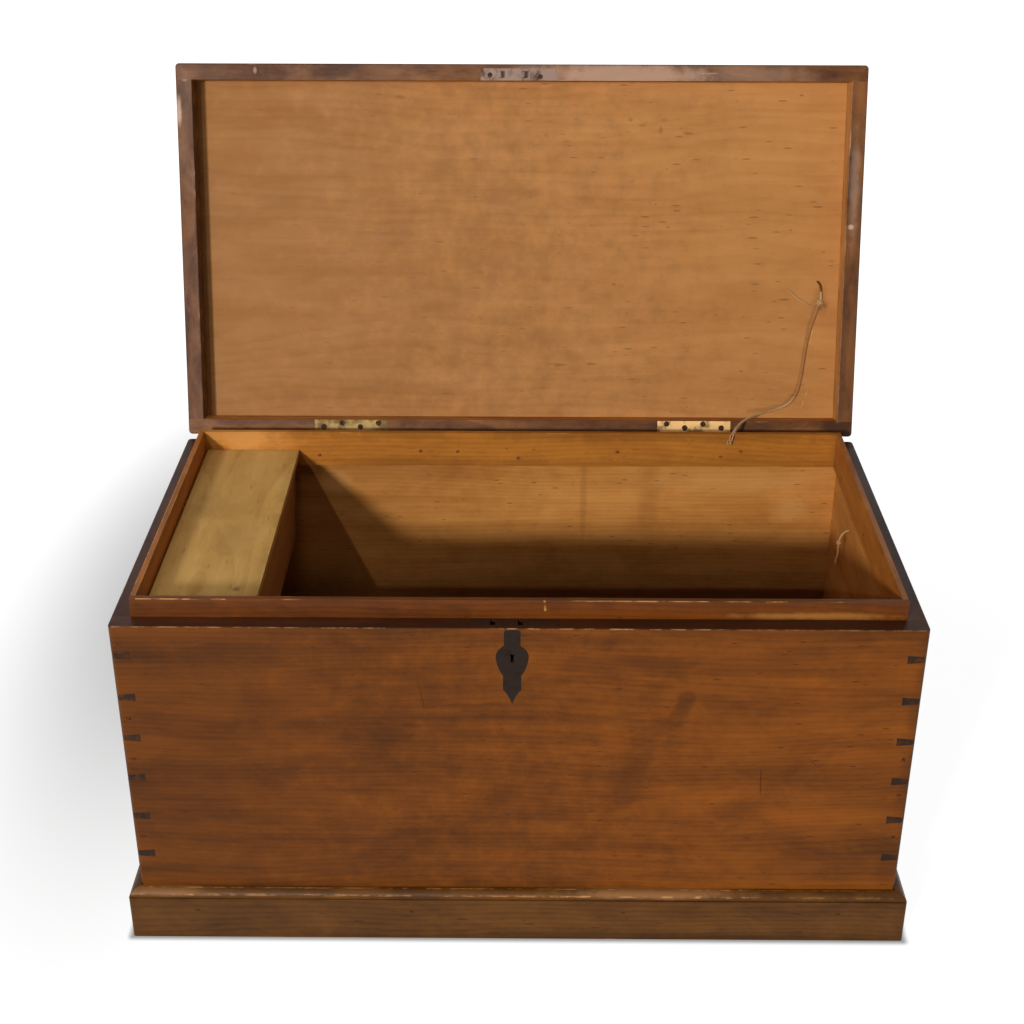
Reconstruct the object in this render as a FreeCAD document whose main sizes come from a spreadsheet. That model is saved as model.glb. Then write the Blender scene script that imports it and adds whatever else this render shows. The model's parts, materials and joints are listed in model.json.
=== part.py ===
import FreeCAD, Part
import math
import os
import Sketcher

# A blanket chest of through-dovetailed boards.  Its lid was made in one box with the carcass and
# sawn off, so it has deep rims of its own, and it stands open on brass hinges that stop just past
# upright.  Inside are dust lips all round, a small lidded till at the left end and a chest lock.
#
# Frame: X to the right, Y to the back, Z up, in millimetres.  The origin is on the floor, on the
# centre line, in the plane of the carcass's front face.

doc = FreeCAD.newDocument("blanket_chest")
Vector = FreeCAD.Vector
Rotation = FreeCAD.Rotation
Placement = FreeCAD.Placement

# ------------------------------------------------------------------------------------------------
# Driving dimensions
# ------------------------------------------------------------------------------------------------
SIZES = {
    # carcass
    "carcass_width": 920,
    "carcass_depth": 498,
    "ledge_height": 439,
    "wall": 22,
    "floor_clear": 12,
    "bottom_board": 16,
    "corner_round": 5,
    "ledge_wear": 0.8,
    # dovetails
    "pin_root": 11,
    "pin_tip": 7,
    "pin_pitch": 56.3,
    "pin_drop": 38.6,
    # plinth
    "plinth_height": 69.5,
    "plinth_thick": 13.5,
    "plinth_flat": 3,
    "plinth_ovolo": 9,
    "plinth_quirk": 1,
    "plinth_round": 3,
    # dust lips
    "lip_thick": 6.5,
    "lip_rise": 23.5,
    "lip_drop": 26,
    # lid
    "lid_gap": 0.3,
    "rim_width": 21,
    "rim_height": 35,
    "lid_board": 14,
    "lid_wear": 1.6,
    "open_angle": 105.5,
    # hinges
    "hinge_length": 101,
    "hinge_left_x": -234,
    "hinge_right_x": 241,
    "leaf_thick": 2.2,
    "axis_out": 4.4,
    "knuckle_radius": 4.2,
    "knuckle_gap": 0.2,
    "hinge_pin_radius": 2,
    "hinge_bore_radius": 2.05,
    "heel_radius": 7.5,
    "heel_sweep": 62,
    "heel_gap_angle": 0.5,
    # till
    "till_drop": 3,
    "till_lid_thick": 9,
    "till_width": 135,
    "till_pivot_in": 12.5,
    "till_pivot_radius": 3,
    "till_bore_radius": 3.06,
    "till_end_gap": 1,
    "till_foot": 143,
    "till_side_in": 129,
    "till_side_lean": 8,
    "till_side_thick": 10,
    "till_floor_thick": 9,
    "till_housing": 6,
    "till_notch_room": 11,
    "till_pivot_end_gap": 0.3,
    # lock, striker and escutcheon
    "lock_left": 54.2,
    "lock_right": 46.6,
    "lock_height": 64,
    "lock_plate_thick": 2,
    "selvage_thick": 2.5,
    "selvage_front": 6,
    "cap_left": 46,
    "cap_right": 38,
    "cap_height": 56,
    "cap_wall": 1.5,
    "bolt_front": 12.5,
    "bolt_thick": 3,
    "bolt_bar_drop": 19,
    "bolt_bar_height": 8,
    "bolt_bar_gap": 0.05,
    "bolt_bar_past_link": 10,
    "bolt_arm": 3,
    "finger_drop": 6.5,
    "finger_height": 3,
    "finger_length": 8,
    "finger_gap": 1,
    "spring_thick": 0.6,
    "spring_gap": 0.3,
    "spring_width": 5.5,
    "striker_front": 5.5,
    "striker_thick": 2,
    "link_left_x": -29,
    "link_right_x": 2,
    "link_y": 13.3,
    "link_width": 4,
    "link_depth": 9,
    "link_height": 13,
    "link_wall": 2,
    "link_window": 5.5,
    "link_slot_room": 1,
    "selvage_slot_depth": 5,
    "keyhole_x": -7,
    "keyhole_drop": 35.5,
    "keyhole_radius": 2.6,
    "keyhole_slot": 3.2,
    "keyhole_tail": 9.5,
    "key_pin_radius": 1.2,
    "key_pin_back": 1,
    "escutcheon_thick": 2,
    "plate_top": 1.8,
    "stem_half": 9.4,
    "stem_round": 3,
    "stem_drop": 22.2,
    "lobe_half": 18.7,
    "lobe_drop": 38.8,
    "lower_stem_half": 10.4,
    "lobe_foot_drop": 62.9,
    "point_start_drop": 81.9,
    "point_drop": 101.8,
    # end handles
    "handle_height": 280,
    "handle_plate_length": 120,
    "handle_plate_height": 40,
    "handle_plate_thick": 2.5,
    "handle_axis_out": 8.5,
    "ear_radius": 5,
    "ear_thick": 8,
    "ear_spacing": 100,
    "bail_radius": 4.5,
    "bail_width": 80,
    "bail_drop": 45,
    "bail_bend": 14,
    "bail_stub_radius": 3,
    "bail_bore_radius": 3.06,
    "bail_eye_wall": 0.2,
    # cut nails and wood screws
    "nail_head_long": 5,
    "nail_head_short": 3.6,
    "nail_head_thick": 1,
    "nail_shank": 2.2,
    "screw_head_radius": 4,
    "screw_head_depth": 2.4,
    "screw_shank_radius": 1.75,
    # cords
    "stay_cord_radius": 1.5,
    "wall_cord_radius": 1.25,
    "hook_radius": 1.3,
}

sheet = doc.addObject("Spreadsheet::Sheet", "Sizes")
for row, (alias, value) in enumerate(SIZES.items(), start=1):
    sheet.set(f"A{row}", alias)
    sheet.set(f"B{row}", str(value))
    sheet.setAlias(f"B{row}", alias)
doc.recompute()

# Places that many pieces share, as expressions on the sheet
OUT = "Sizes.carcass_width / 2"
IN = "(Sizes.carcass_width / 2 - Sizes.wall)"
LIP_IN = "(Sizes.carcass_width / 2 - Sizes.wall - Sizes.lip_thick)"
FRONT = "0"
FRONT_IN = "Sizes.wall"
FRONT_LIP_IN = "(Sizes.wall + Sizes.lip_thick)"
BACK = "Sizes.carcass_depth"
BACK_IN = "(Sizes.carcass_depth - Sizes.wall)"
BACK_LIP_IN = "(Sizes.carcass_depth - Sizes.wall - Sizes.lip_thick)"
LEDGE = "Sizes.ledge_height"
FOOT = "(Sizes.floor_clear + Sizes.bottom_board)"
LIP_TOP = "(Sizes.ledge_height + Sizes.lip_rise)"
LIP_FOOT = "(Sizes.ledge_height - Sizes.lip_drop)"
RIM_FOOT = "(Sizes.ledge_height + Sizes.lid_gap)"
RIM_TOP = "(Sizes.ledge_height + Sizes.lid_gap + Sizes.rim_height)"
LID_TOP = "(Sizes.ledge_height + Sizes.lid_gap + Sizes.rim_height + Sizes.lid_board)"
HINGE_Y = "(Sizes.carcass_depth + Sizes.axis_out)"
HINGE_Z = "(Sizes.ledge_height + Sizes.lid_gap / 2)"

CARCASS_PINS = 7
SIDES = {"left": -1, "right": 1}


def size(expression):
    """The value of an expression on the sheet."""
    value = sheet.evalExpression(str(expression))
    return float(getattr(value, "Value", value))


# The lid is modelled shut and then turned open about the hinge pins
LID_OPEN = Placement(
    Vector(0, 0, 0),
    Rotation(Vector(-1, 0, 0), size("Sizes.open_angle")),
    Vector(0, size(HINGE_Y), size(HINGE_Z)),
)

# ------------------------------------------------------------------------------------------------
# Helpers
# ------------------------------------------------------------------------------------------------
nodes = []

SCREW_SIDES = 12
BAIL_SIDES = 12

ALONG = {
    "x": Rotation(Vector(1, 1, 1), 120),
    "y": Rotation(Vector(1, 0, 0), -90),
    "z": Rotation(),
}
INTO = {
    "+x": Rotation(Vector(0, 1, 0), 90),
    "-x": Rotation(Vector(0, 1, 0), -90),
    "+y": Rotation(Vector(1, 0, 0), -90),
    "-y": Rotation(Vector(1, 0, 0), 90),
    "+z": Rotation(),
    "-z": Rotation(Vector(1, 0, 0), 180),
}


def keep(shape_object, label):
    """Name a finished sub-part."""
    shape_object.Label = label
    nodes.append(shape_object)
    return shape_object


def keep_open(shape_object, label):
    """Name a piece of the lid, turned open from where it was modelled with the lid shut."""
    turned = doc.addObject("Part::Compound", label + "_open")
    turned.Links = [shape_object]
    turned.Placement = LID_OPEN
    return keep(turned, label)


def place(shape_object, x, y, z):
    for axis, expression in zip("xyz", (x, y, z)):
        shape_object.setExpression(f"Placement.Base.{axis}", str(expression))


def box(name, x, y, z):
    """A block between a low and a high value on each axis."""
    block = doc.addObject("Part::Box", name)
    place(block, x[0], y[0], z[0])
    for length, (low, high) in zip(("Length", "Width", "Height"), (x, y, z)):
        block.setExpression(length, f"({high}) - ({low})")
    return block


def rod(name, axis, across, along, radius):
    """A cylinder: across is its centre on the other two axes, along its low and high end."""
    cylinder = doc.addObject("Part::Cylinder", name)
    cylinder.Placement = Placement(Vector(), ALONG[axis])
    start = dict(zip([letter for letter in "xyz" if letter != axis], across))
    start[axis] = along[0]
    place(cylinder, start["x"], start["y"], start["z"])
    cylinder.setExpression("Radius", str(radius))
    cylinder.setExpression("Height", f"({along[1]}) - ({along[0]})")
    return cylinder


def about(centre, width):
    """The low and high value of a width centred on a place."""
    return (f"({centre}) - ({width}) / 2", f"({centre}) + ({width}) / 2")


def outward(side, near, far):
    """A low and a high x, measured outwards from the centre line on the left (-1) or right (+1)."""
    return (f"{near}", f"{far}") if side > 0 else (f"-({far})", f"-({near})")


def share_of_width(share):
    """An x that keeps its share of the way from the centre line to the side."""
    return f"{share} * {OUT}"


def share_of_depth(share):
    """A y that keeps its share of the way from the front face to the back."""
    return f"{share} * {BACK}"


def union(name, pieces):
    if len(pieces) == 1:
        return pieces[0]
    joined = doc.addObject("Part::MultiFuse", name)
    joined.Shapes = pieces
    return joined


def cut(name, base, tools):
    result = doc.addObject("Part::Cut", name)
    result.Base = base
    result.Tool = union(name + "_tools", tools)
    return result


def common(name, base, other):
    result = doc.addObject("Part::Common", name)
    result.Base = base
    result.Tool = other
    return result


def group(name, pieces):
    """Loose pieces of one kind, such as a set of nails, in one sub-part."""
    result = doc.addObject("Part::Compound", name)
    result.Links = pieces
    return result


def nail(name, into, at, length):
    """A cut nail: at is the middle of its rectangular head's outer face, into the way it's driven."""
    axis = into[1]
    spans = {}
    shank = {}
    widths = ["Sizes.nail_head_long", "Sizes.nail_head_short"]
    for letter, centre in zip("xyz", at):
        if letter == axis:
            depth = ("Sizes.nail_head_thick", length)
            spans[letter], shank[letter] = [
                (f"{centre}", f"({centre}) + ({reach})")
                if into[0] == "+"
                else (f"({centre}) - ({reach})", f"{centre}")
                for reach in depth
            ]
        else:
            spans[letter] = about(centre, widths.pop(0))
            shank[letter] = about(centre, "Sizes.nail_shank")
    head = box(name + "_head", spans["x"], spans["y"], spans["z"])
    body = box(name + "_shank", shank["x"], shank["y"], shank["z"])
    return union(name, [head, body])


def screw(name, into, at, length, scale=1):
    """A countersunk wood screw, its rounds given SCREW_SIDES flats; at is the middle of its head."""
    head = size("Sizes.screw_head_radius") * scale
    shank = size("Sizes.screw_shank_radius") * scale
    turns = [math.tau * (side + 0.5) / SCREW_SIDES for side in range(SCREW_SIDES)]
    rings = [
        [Vector(radius * math.cos(turn), radius * math.sin(turn), depth) for turn in turns]
        for radius, depth in (
            (head, 0),
            (shank, size("Sizes.screw_head_depth") * scale),
            (shank, size(length)),
        )
    ]
    outlines = [rings[0][::-1], rings[-1]]
    for upper, lower in zip(rings, rings[1:]):
        for side in range(SCREW_SIDES):
            after = (side + 1) % SCREW_SIDES
            outlines.append([upper[side], upper[after], lower[after], lower[side]])
    faces = [Part.Face(Part.makePolygon(corners + corners[:1])) for corners in outlines]
    feature = doc.addObject("Part::Feature", name)
    feature.Shape = Part.makeSolid(Part.makeShell(faces))
    feature.Placement = Placement(Vector(*[size(value) for value in at]), INTO[into])
    return feature


def outline(body, plane, corners):
    """A closed sketch on one of the body's planes.

    Each corner is (across, up), and the side that leaves it is straight, or (across, up, radius,
    turn), and that side is an arc: turn is +1 where it bulges left of its chord and -1 right.
    """
    sketch = body.newObject("Sketcher::SketchObject", body.Name + "_outline")
    origin = [feature for feature in body.Origin.OriginFeatures if feature.Role == plane][0]
    sketch.AttachmentSupport = (origin, [""])
    sketch.MapMode = "FlatFace"
    points = [Vector(size(corner[0]), size(corner[1]), 0) for corner in corners]
    ends = []
    for index, corner in enumerate(corners):
        start = points[index]
        finish = points[(index + 1) % len(points)]
        if len(corner) == 2:
            sketch.addGeometry(Part.LineSegment(start, finish))
            ends.append((1, 2))
            continue
        radius = size(corner[2])
        chord = finish - start
        bulge = radius - math.sqrt(max(radius**2 - (chord.Length / 2) ** 2, 0))
        side = Vector(-chord.y, chord.x, 0).normalize() * bulge * corner[3]
        sketch.addGeometry(Part.Arc(start, (start + finish) / 2 + side, finish))
        ends.append((1, 2) if (sketch.getPoint(index, 1) - start).Length < 1e-6 else (2, 1))
    for index in range(len(corners)):
        following = (index + 1) % len(corners)
        sketch.addConstraint(
            Sketcher.Constraint("Coincident", index, ends[index][1], following, ends[following][0])
        )
    for index, corner in enumerate(corners):
        for kind, expression in zip(("DistanceX", "DistanceY"), corner[:2]):
            value = size(expression)
            number = sketch.addConstraint(
                Sketcher.Constraint(kind, -1, 1, index, ends[index][0], value)
            )
            if "Sizes." in str(expression):
                sketch.setExpression(f"Constraints[{number}]", str(expression))
        if len(corner) > 2:
            number = sketch.addConstraint(Sketcher.Constraint("Radius", index, size(corner[2])))
            if "Sizes." in str(corner[2]):
                sketch.setExpression(f"Constraints[{number}]", str(corner[2]))
    return sketch


def extrusion(name, plane, corners, low, high):
    """A body padded from an outline, between a low and a high value on the axis off its plane."""
    body = doc.addObject("PartDesign::Body", name)
    pad = body.newObject("PartDesign::Pad", name + "_pad")
    pad.Profile = outline(body, plane, corners)
    pad.setExpression("Length", f"({high}) - ({low})")
    pad.Reversed = plane == "XZ_Plane"
    axis = {"XY_Plane": "z", "XZ_Plane": "y", "YZ_Plane": "x"}[plane]
    body.setExpression(f"Placement.Base.{axis}", str(low))
    return body


def rounded_block(name, x, y, z, upright, arrises=None, both=False):
    """A block with rounded upright edges and, if asked, worn flats along its top and foot."""
    corners = [(x[0], y[0]), (x[1], y[0]), (x[1], y[1]), (x[0], y[1])]
    body = extrusion(name, "XY_Plane", corners, z[0], z[1])
    doc.recompute()
    pad = body.Tip
    edges = [
        f"Edge{number}"
        for number, edge in enumerate(pad.Shape.Edges, start=1)
        if edge.BoundBox.ZLength > 1
    ]
    fillet = body.newObject("PartDesign::Fillet", name + "_uprights")
    fillet.Base = (pad, edges)
    fillet.setExpression("Radius", upright)
    doc.recompute()
    if arrises:
        height = size(f"({z[1]}) - ({z[0]})")
        levels = (0, height) if both else (height,)
        edges = [
            f"Edge{number}"
            for number, edge in enumerate(fillet.Shape.Edges, start=1)
            if edge.BoundBox.ZLength < 0.01
            and min(abs(edge.BoundBox.ZMax - level) for level in levels) < 0.01
        ]
        arris = body.newObject("PartDesign::Chamfer", name + "_arrises")
        arris.Base = (fillet, edges)
        arris.setExpression("Size", arrises)
        doc.recompute()
    return body


def tube(name, points, radius, smallest=0):
    """A round tube along straight runs joined by tangent arcs as large as the runs allow."""
    places = [Vector(*point) for point in points]
    radii = []
    edges = []
    start = places[0]
    for before, corner, after in zip(places, places[1:], places[2:]):
        inward = before - corner
        onward = after - corner
        turn = math.pi - inward.getAngle(onward)
        shorter = min(inward.Length, onward.Length)
        setback = 0.45 * shorter
        radii.append(setback / math.tan(turn / 2))
        inward.normalize()
        onward.normalize()
        first = corner + inward * setback
        last = corner + onward * setback
        middle = inward + onward
        middle.normalize()
        depth = radii[-1] / math.cos(turn / 2) - radii[-1]
        edges.append(Part.LineSegment(start, first).toShape())
        edges.append(Part.Arc(first, corner + middle * depth, last).toShape())
        start = last
    edges.append(Part.LineSegment(start, places[-1]).toShape())
    path = Part.Wire(edges)
    section = Part.Wire(Part.Circle(places[0], places[1] - places[0], radius).toShape())
    feature = doc.addObject("Part::Feature", name)
    feature.Shape = path.makePipeShell([section], True, True)
    ratio = feature.Shape.Volume / (math.pi * radius**2 * path.Length)
    print(f"{name}: length {path.Length:.1f}, volume / section x length {ratio:.4f}")
    print(f"  bend radii {[round(bend, 1) for bend in radii]}, least wanted {smallest}")
    return feature


def dovetail_pin(name, side, across, height, through):
    """One pin: it passes through the tail board (across = its y) and narrows outwards."""
    wedge = doc.addObject("Part::Wedge", name)
    wedge.Placement = Placement(Vector(), Rotation(Vector(0, 0, 1), -90 * side))
    root = f"Sizes.carcass_width / 2 - {through}"
    place(wedge, root if side > 0 else f"-({root})", across[1] if side > 0 else across[0], height)
    limits = {
        "Xmin": "0",
        "Xmax": through,
        "Ymin": "0",
        "Ymax": through,
        "Zmin": "-Sizes.pin_root / 2",
        "Zmax": "Sizes.pin_root / 2",
        "X2min": "0",
        "X2max": through,
        "Z2min": "-Sizes.pin_tip / 2",
        "Z2max": "Sizes.pin_tip / 2",
    }
    for limit, expression in limits.items():
        wedge.setExpression(limit, expression)
    return wedge


# ------------------------------------------------------------------------------------------------
# Nails, screws and the other pieces that the boards are cut for
# ------------------------------------------------------------------------------------------------
LIP_NAIL_HEIGHT = f"{LEDGE} - 13"
BACK_LIP_NAILS = [
    (-0.598, 11),
    (-0.296, 4),
    (-0.185, 5),
    (-0.004, 14),
    (0.291, 4),
    (0.6, 11),
    (0.659, 3),
]
FRONT_LIP_NAILS = [-0.783, -0.47, -0.157, 0.157, 0.47, 0.783]
SIDE_LIP_NAILS = [0.18, 0.5, 0.82]
LIP_NAIL_LENGTH = "14"


def lip_nails():
    nails = []
    for share, drop in BACK_LIP_NAILS:
        at = (share_of_width(share), BACK_LIP_IN, f"{LEDGE} - {drop}")
        nails.append(nail("back_lip_nail", "+y", at, LIP_NAIL_LENGTH))
    for share in FRONT_LIP_NAILS:
        at = (share_of_width(share), FRONT_LIP_IN, LIP_NAIL_HEIGHT)
        nails.append(nail("front_lip_nail", "-y", at, LIP_NAIL_LENGTH))
    for side, sign in SIDES.items():
        for share in SIDE_LIP_NAILS:
            at = (f"{sign} * {LIP_IN}", share_of_depth(share), LIP_NAIL_HEIGHT)
            into = "+x" if sign > 0 else "-x"
            nails.append(nail(side + "_lip_nail", into, at, LIP_NAIL_LENGTH))
    return keep(group("lip_nails", nails), "lip_nails")


FRONT_LEFT_TAIL_NAILS = [22, 124, 181, 294]
FRONT_RIGHT_TAIL_NAILS = [176, 227, 289]
BACK_TAIL_NAILS = [67, 180, 293]
TAIL_NAIL_IN = 11
TAIL_NAIL_LENGTH = "45"


def dovetail_nails():
    """Nails through the tails of the front and back boards into the end boards."""
    nails = []
    for sign, drops in ((-1, FRONT_LEFT_TAIL_NAILS), (1, FRONT_RIGHT_TAIL_NAILS)):
        for drop in drops:
            at = (f"{sign} * ({OUT} - {TAIL_NAIL_IN})", FRONT, f"{LEDGE} - {drop}")
            nails.append(nail("front_tail_nail", "+y", at, TAIL_NAIL_LENGTH))
    for sign in SIDES.values():
        for drop in BACK_TAIL_NAILS:
            at = (f"{sign} * ({OUT} - {TAIL_NAIL_IN})", BACK, f"{LEDGE} - {drop}")
            nails.append(nail("back_tail_nail", "-y", at, TAIL_NAIL_LENGTH))
    return keep(group("dovetail_nails", nails), "dovetail_nails")


PLINTH_NAIL_HEIGHT = "42"
PLINTH_NAIL_LENGTH = "32"
LONG_PLINTH_NAILS = [-0.85, -0.28, 0.28, 0.85]
END_PLINTH_NAILS = [0.22, 0.78]


def plinth_nails():
    nails = []
    outer = "Sizes.plinth_thick"
    for share in LONG_PLINTH_NAILS:
        front = (share_of_width(share), f"-{outer}", PLINTH_NAIL_HEIGHT)
        back = (share_of_width(share), f"{BACK} + {outer}", PLINTH_NAIL_HEIGHT)
        nails.append(nail("front_plinth_nail", "+y", front, PLINTH_NAIL_LENGTH))
        nails.append(nail("back_plinth_nail", "-y", back, PLINTH_NAIL_LENGTH))
    for share in END_PLINTH_NAILS:
        for sign in SIDES.values():
            at = (f"{sign} * ({OUT} + {outer})", share_of_depth(share), PLINTH_NAIL_HEIGHT)
            nails.append(nail("end_plinth_nail", "-x" if sign > 0 else "+x", at, PLINTH_NAIL_LENGTH))
    return keep(group("plinth_nails", nails), "plinth_nails")


BOTTOM_NAIL_LENGTH = "42"
LONG_BOTTOM_NAILS = [-0.74, 0, 0.74]
BOTTOM_BOARDS = ("front", "middle", "back")


def bottom_nails():
    """Nails up through the bottom boards into the edges of the four walls."""
    nails = []
    middle = "Sizes.wall / 2"
    for share in LONG_BOTTOM_NAILS:
        for y in (middle, f"{BACK} - {middle}"):
            at = (share_of_width(share), y, "Sizes.floor_clear")
            nails.append(nail("long_bottom_nail", "+z", at, BOTTOM_NAIL_LENGTH))
    for index in range(len(BOTTOM_BOARDS)):
        y = f"{BACK} * {index + 0.5} / {len(BOTTOM_BOARDS)}"
        for sign in SIDES.values():
            at = (f"{sign} * ({OUT} - {middle})", y, "Sizes.floor_clear")
            nails.append(nail("end_bottom_nail", "+z", at, BOTTOM_NAIL_LENGTH))
    return keep(group("bottom_nails", nails), "bottom_nails")


LONG_LID_NAILS = [-0.87, -0.29, 0.29, 0.87]
END_LID_NAILS = [0.26, 0.5, 0.74]
LID_NAIL_LENGTH = "36"


def lid_nails():
    """Nails down through the lid board into the four rims."""
    nails = []
    middle = "Sizes.rim_width / 2"
    for share in LONG_LID_NAILS:
        for y in (middle, f"{BACK} - {middle}"):
            at = (share_of_width(share), y, LID_TOP)
            nails.append(nail("long_lid_nail", "-z", at, LID_NAIL_LENGTH))
    for share in END_LID_NAILS:
        for sign in SIDES.values():
            at = (f"{sign} * ({OUT} - {middle})", share_of_depth(share), LID_TOP)
            nails.append(nail("end_lid_nail", "-z", at, LID_NAIL_LENGTH))
    return group("lid_nails_shut", nails)


# ------------------------------------------------------------------------------------------------
# Hinges: butts with heels that meet behind the knuckles and hold the lid just past upright
# ------------------------------------------------------------------------------------------------
KNUCKLES = 5
HINGE_SCREWS = 4
# how far the screws of each hinge lie in front of its axis, by turns
SCREW_ROWS = {"left": (15.4, 20.9), "right": (21.4, 15.9)}
HINGE_SCREW_LENGTH = "16"


def hinge_x(side):
    return f"Sizes.hinge_{side}_x - Sizes.hinge_length / 2"


def heel(name, x, start_angle, sweep):
    """A sector round the hinge axis, its angles measured from straight back towards up."""
    sector = rod(name, "x", (HINGE_Y, HINGE_Z), x, "Sizes.heel_radius")
    sector.Placement = Placement(Vector(), Rotation(Vector(1, 0, 0), start_angle) * ALONG["x"])
    place(sector, x[0], HINGE_Y, HINGE_Z)
    sector.setExpression("Angle", sweep)
    return sector


def hinge_leaf(name, side, plate_z, start_angle, sweep, own, screws):
    """One leaf with its plate, its own knuckles and its heel, bored for the pin and its screws."""
    start = hinge_x(side)
    length = "Sizes.hinge_length"
    x = (start, f"{start} + {length}")
    inner = BACK_IN if own == 0 else f"{BACK} - Sizes.rim_width"
    solid = [
        box(name + "_plate", x, (inner, HINGE_Y), plate_z),
        rod(name + "_barrel", "x", (HINGE_Y, HINGE_Z), x, "Sizes.knuckle_radius"),
        heel(name + "_heel", x, start_angle, sweep),
    ]
    away = [rod(name + "_bore", "x", (HINGE_Y, HINGE_Z), x, "Sizes.hinge_bore_radius"), screws]
    for knuckle in range(1 - own, KNUCKLES, 2):
        low = f"{start} + {length} * {knuckle} / {KNUCKLES}"
        high = f"{start} + {length} * {knuckle + 1} / {KNUCKLES}"
        first = knuckle == 0
        last = knuckle == KNUCKLES - 1
        margin = "Sizes.knuckle_gap / 2"
        room = (low if first else f"{low} - {margin}", high if last else f"{high} + {margin}")
        away.append(
            rod(name + "_gap", "x", (HINGE_Y, HINGE_Z), room, "Sizes.knuckle_radius + Sizes.knuckle_gap")
        )
    return cut(name, union(name + "_solid", solid), away)


def hinge_screws(name, side, into, height):
    screws = []
    for index in range(HINGE_SCREWS):
        along = f"Sizes.hinge_length * {(index + 0.5) / HINGE_SCREWS}"
        at = (f"{hinge_x(side)} + {along}", f"{HINGE_Y} - {SCREW_ROWS[side][index % 2]}", height)
        screws.append(screw("hinge_screw", into, at, HINGE_SCREW_LENGTH))
    return group(name, screws)


def hinges():
    """Both hinges; returns what the back board and the lid's back rim are cut for."""
    stop = size("Sizes.open_angle") / 2
    sweep = "Sizes.heel_sweep"
    in_carcass = []
    in_lid = []
    for side in SIDES:
        low_screws = hinge_screws(f"carcass_screws_{side}", side, "-z", LEDGE)
        high_screws = hinge_screws(f"hinge_screws_shut_{side}", side, "+z", RIM_FOOT)
        low_plate = (f"{LEDGE} - Sizes.leaf_thick", LEDGE)
        high_plate = (RIM_FOOT, f"{RIM_FOOT} + Sizes.leaf_thick")
        low_leaf = hinge_leaf(
            f"hinge_leaf_carcass_{side}",
            side,
            low_plate,
            -stop - size(sweep),
            sweep,
            0,
            low_screws,
        )
        high_leaf = hinge_leaf(
            f"hinge_leaf_shut_{side}",
            side,
            high_plate,
            stop + size("Sizes.heel_gap_angle"),
            sweep,
            1,
            high_screws,
        )
        start = hinge_x(side)
        along = (start, f"{start} + Sizes.hinge_length")
        pin = rod(f"hinge_pin_{side}", "x", (HINGE_Y, HINGE_Z), along, "Sizes.hinge_pin_radius")
        keep(low_leaf, f"hinge_leaf_carcass_{side}")
        keep(pin, f"hinge_pin_{side}")
        keep(low_screws, f"hinge_screws_carcass_{side}")
        keep_open(high_leaf, f"hinge_leaf_lid_{side}")
        keep_open(high_screws, f"hinge_screws_lid_{side}")
        high_y = (f"{BACK} - Sizes.rim_width", HINGE_Y)
        in_carcass += [box("low_recess", along, (BACK_IN, HINGE_Y), low_plate), low_screws]
        in_lid += [box("high_recess", along, high_y, high_plate), high_screws]
    return in_carcass, in_lid


# ------------------------------------------------------------------------------------------------
# Chest lock: an L-shaped plate with a cap, and a bolt that slides through the striker's two links
# ------------------------------------------------------------------------------------------------
LOCK_X = ("-Sizes.lock_left", "Sizes.lock_right")
CAP_X = ("-Sizes.cap_left", "Sizes.cap_right")
CAP_Z = (f"{LEDGE} - Sizes.cap_height", f"{LEDGE} - Sizes.selvage_thick")
LINKS = {"left": "Sizes.link_left_x", "right": "Sizes.link_right_x"}
KEYHOLE_Z = f"({LEDGE} - Sizes.keyhole_drop)"
LOCK_SCREW_X = ("-(Sizes.lock_left + Sizes.cap_left) / 2", "(Sizes.lock_right + Sizes.cap_right) / 2")
LOCK_SCREW_DROPS = [34, 58]
LOCK_SCREW_LENGTH = "12"
LOCK_SCREW_SCALE = 0.8
BOLT_BAR_TOP = f"({LEDGE} - Sizes.bolt_bar_drop)"
BOLT_BAR_Z = (f"{BOLT_BAR_TOP} - Sizes.bolt_bar_height", BOLT_BAR_TOP)
FINGER_TOP = f"({LEDGE} - Sizes.finger_drop)"
BOLT_FINGER_Z = (f"{FINGER_TOP} - Sizes.finger_height", FINGER_TOP)


def keyhole():
    """The keyhole's round and its tail, right through to the inside of the cap."""
    y = (f"{FRONT} - Sizes.wall", "Sizes.selvage_front + Sizes.cap_wall")
    hole = rod("keyhole_round", "y", ("Sizes.keyhole_x", KEYHOLE_Z), y, "Sizes.keyhole_radius")
    tail_z = (f"{KEYHOLE_Z} - Sizes.keyhole_tail", KEYHOLE_Z)
    tail = box("keyhole_tail", about("Sizes.keyhole_x", "Sizes.keyhole_slot"), y, tail_z)
    return union("keyhole", [hole, tail])


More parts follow.
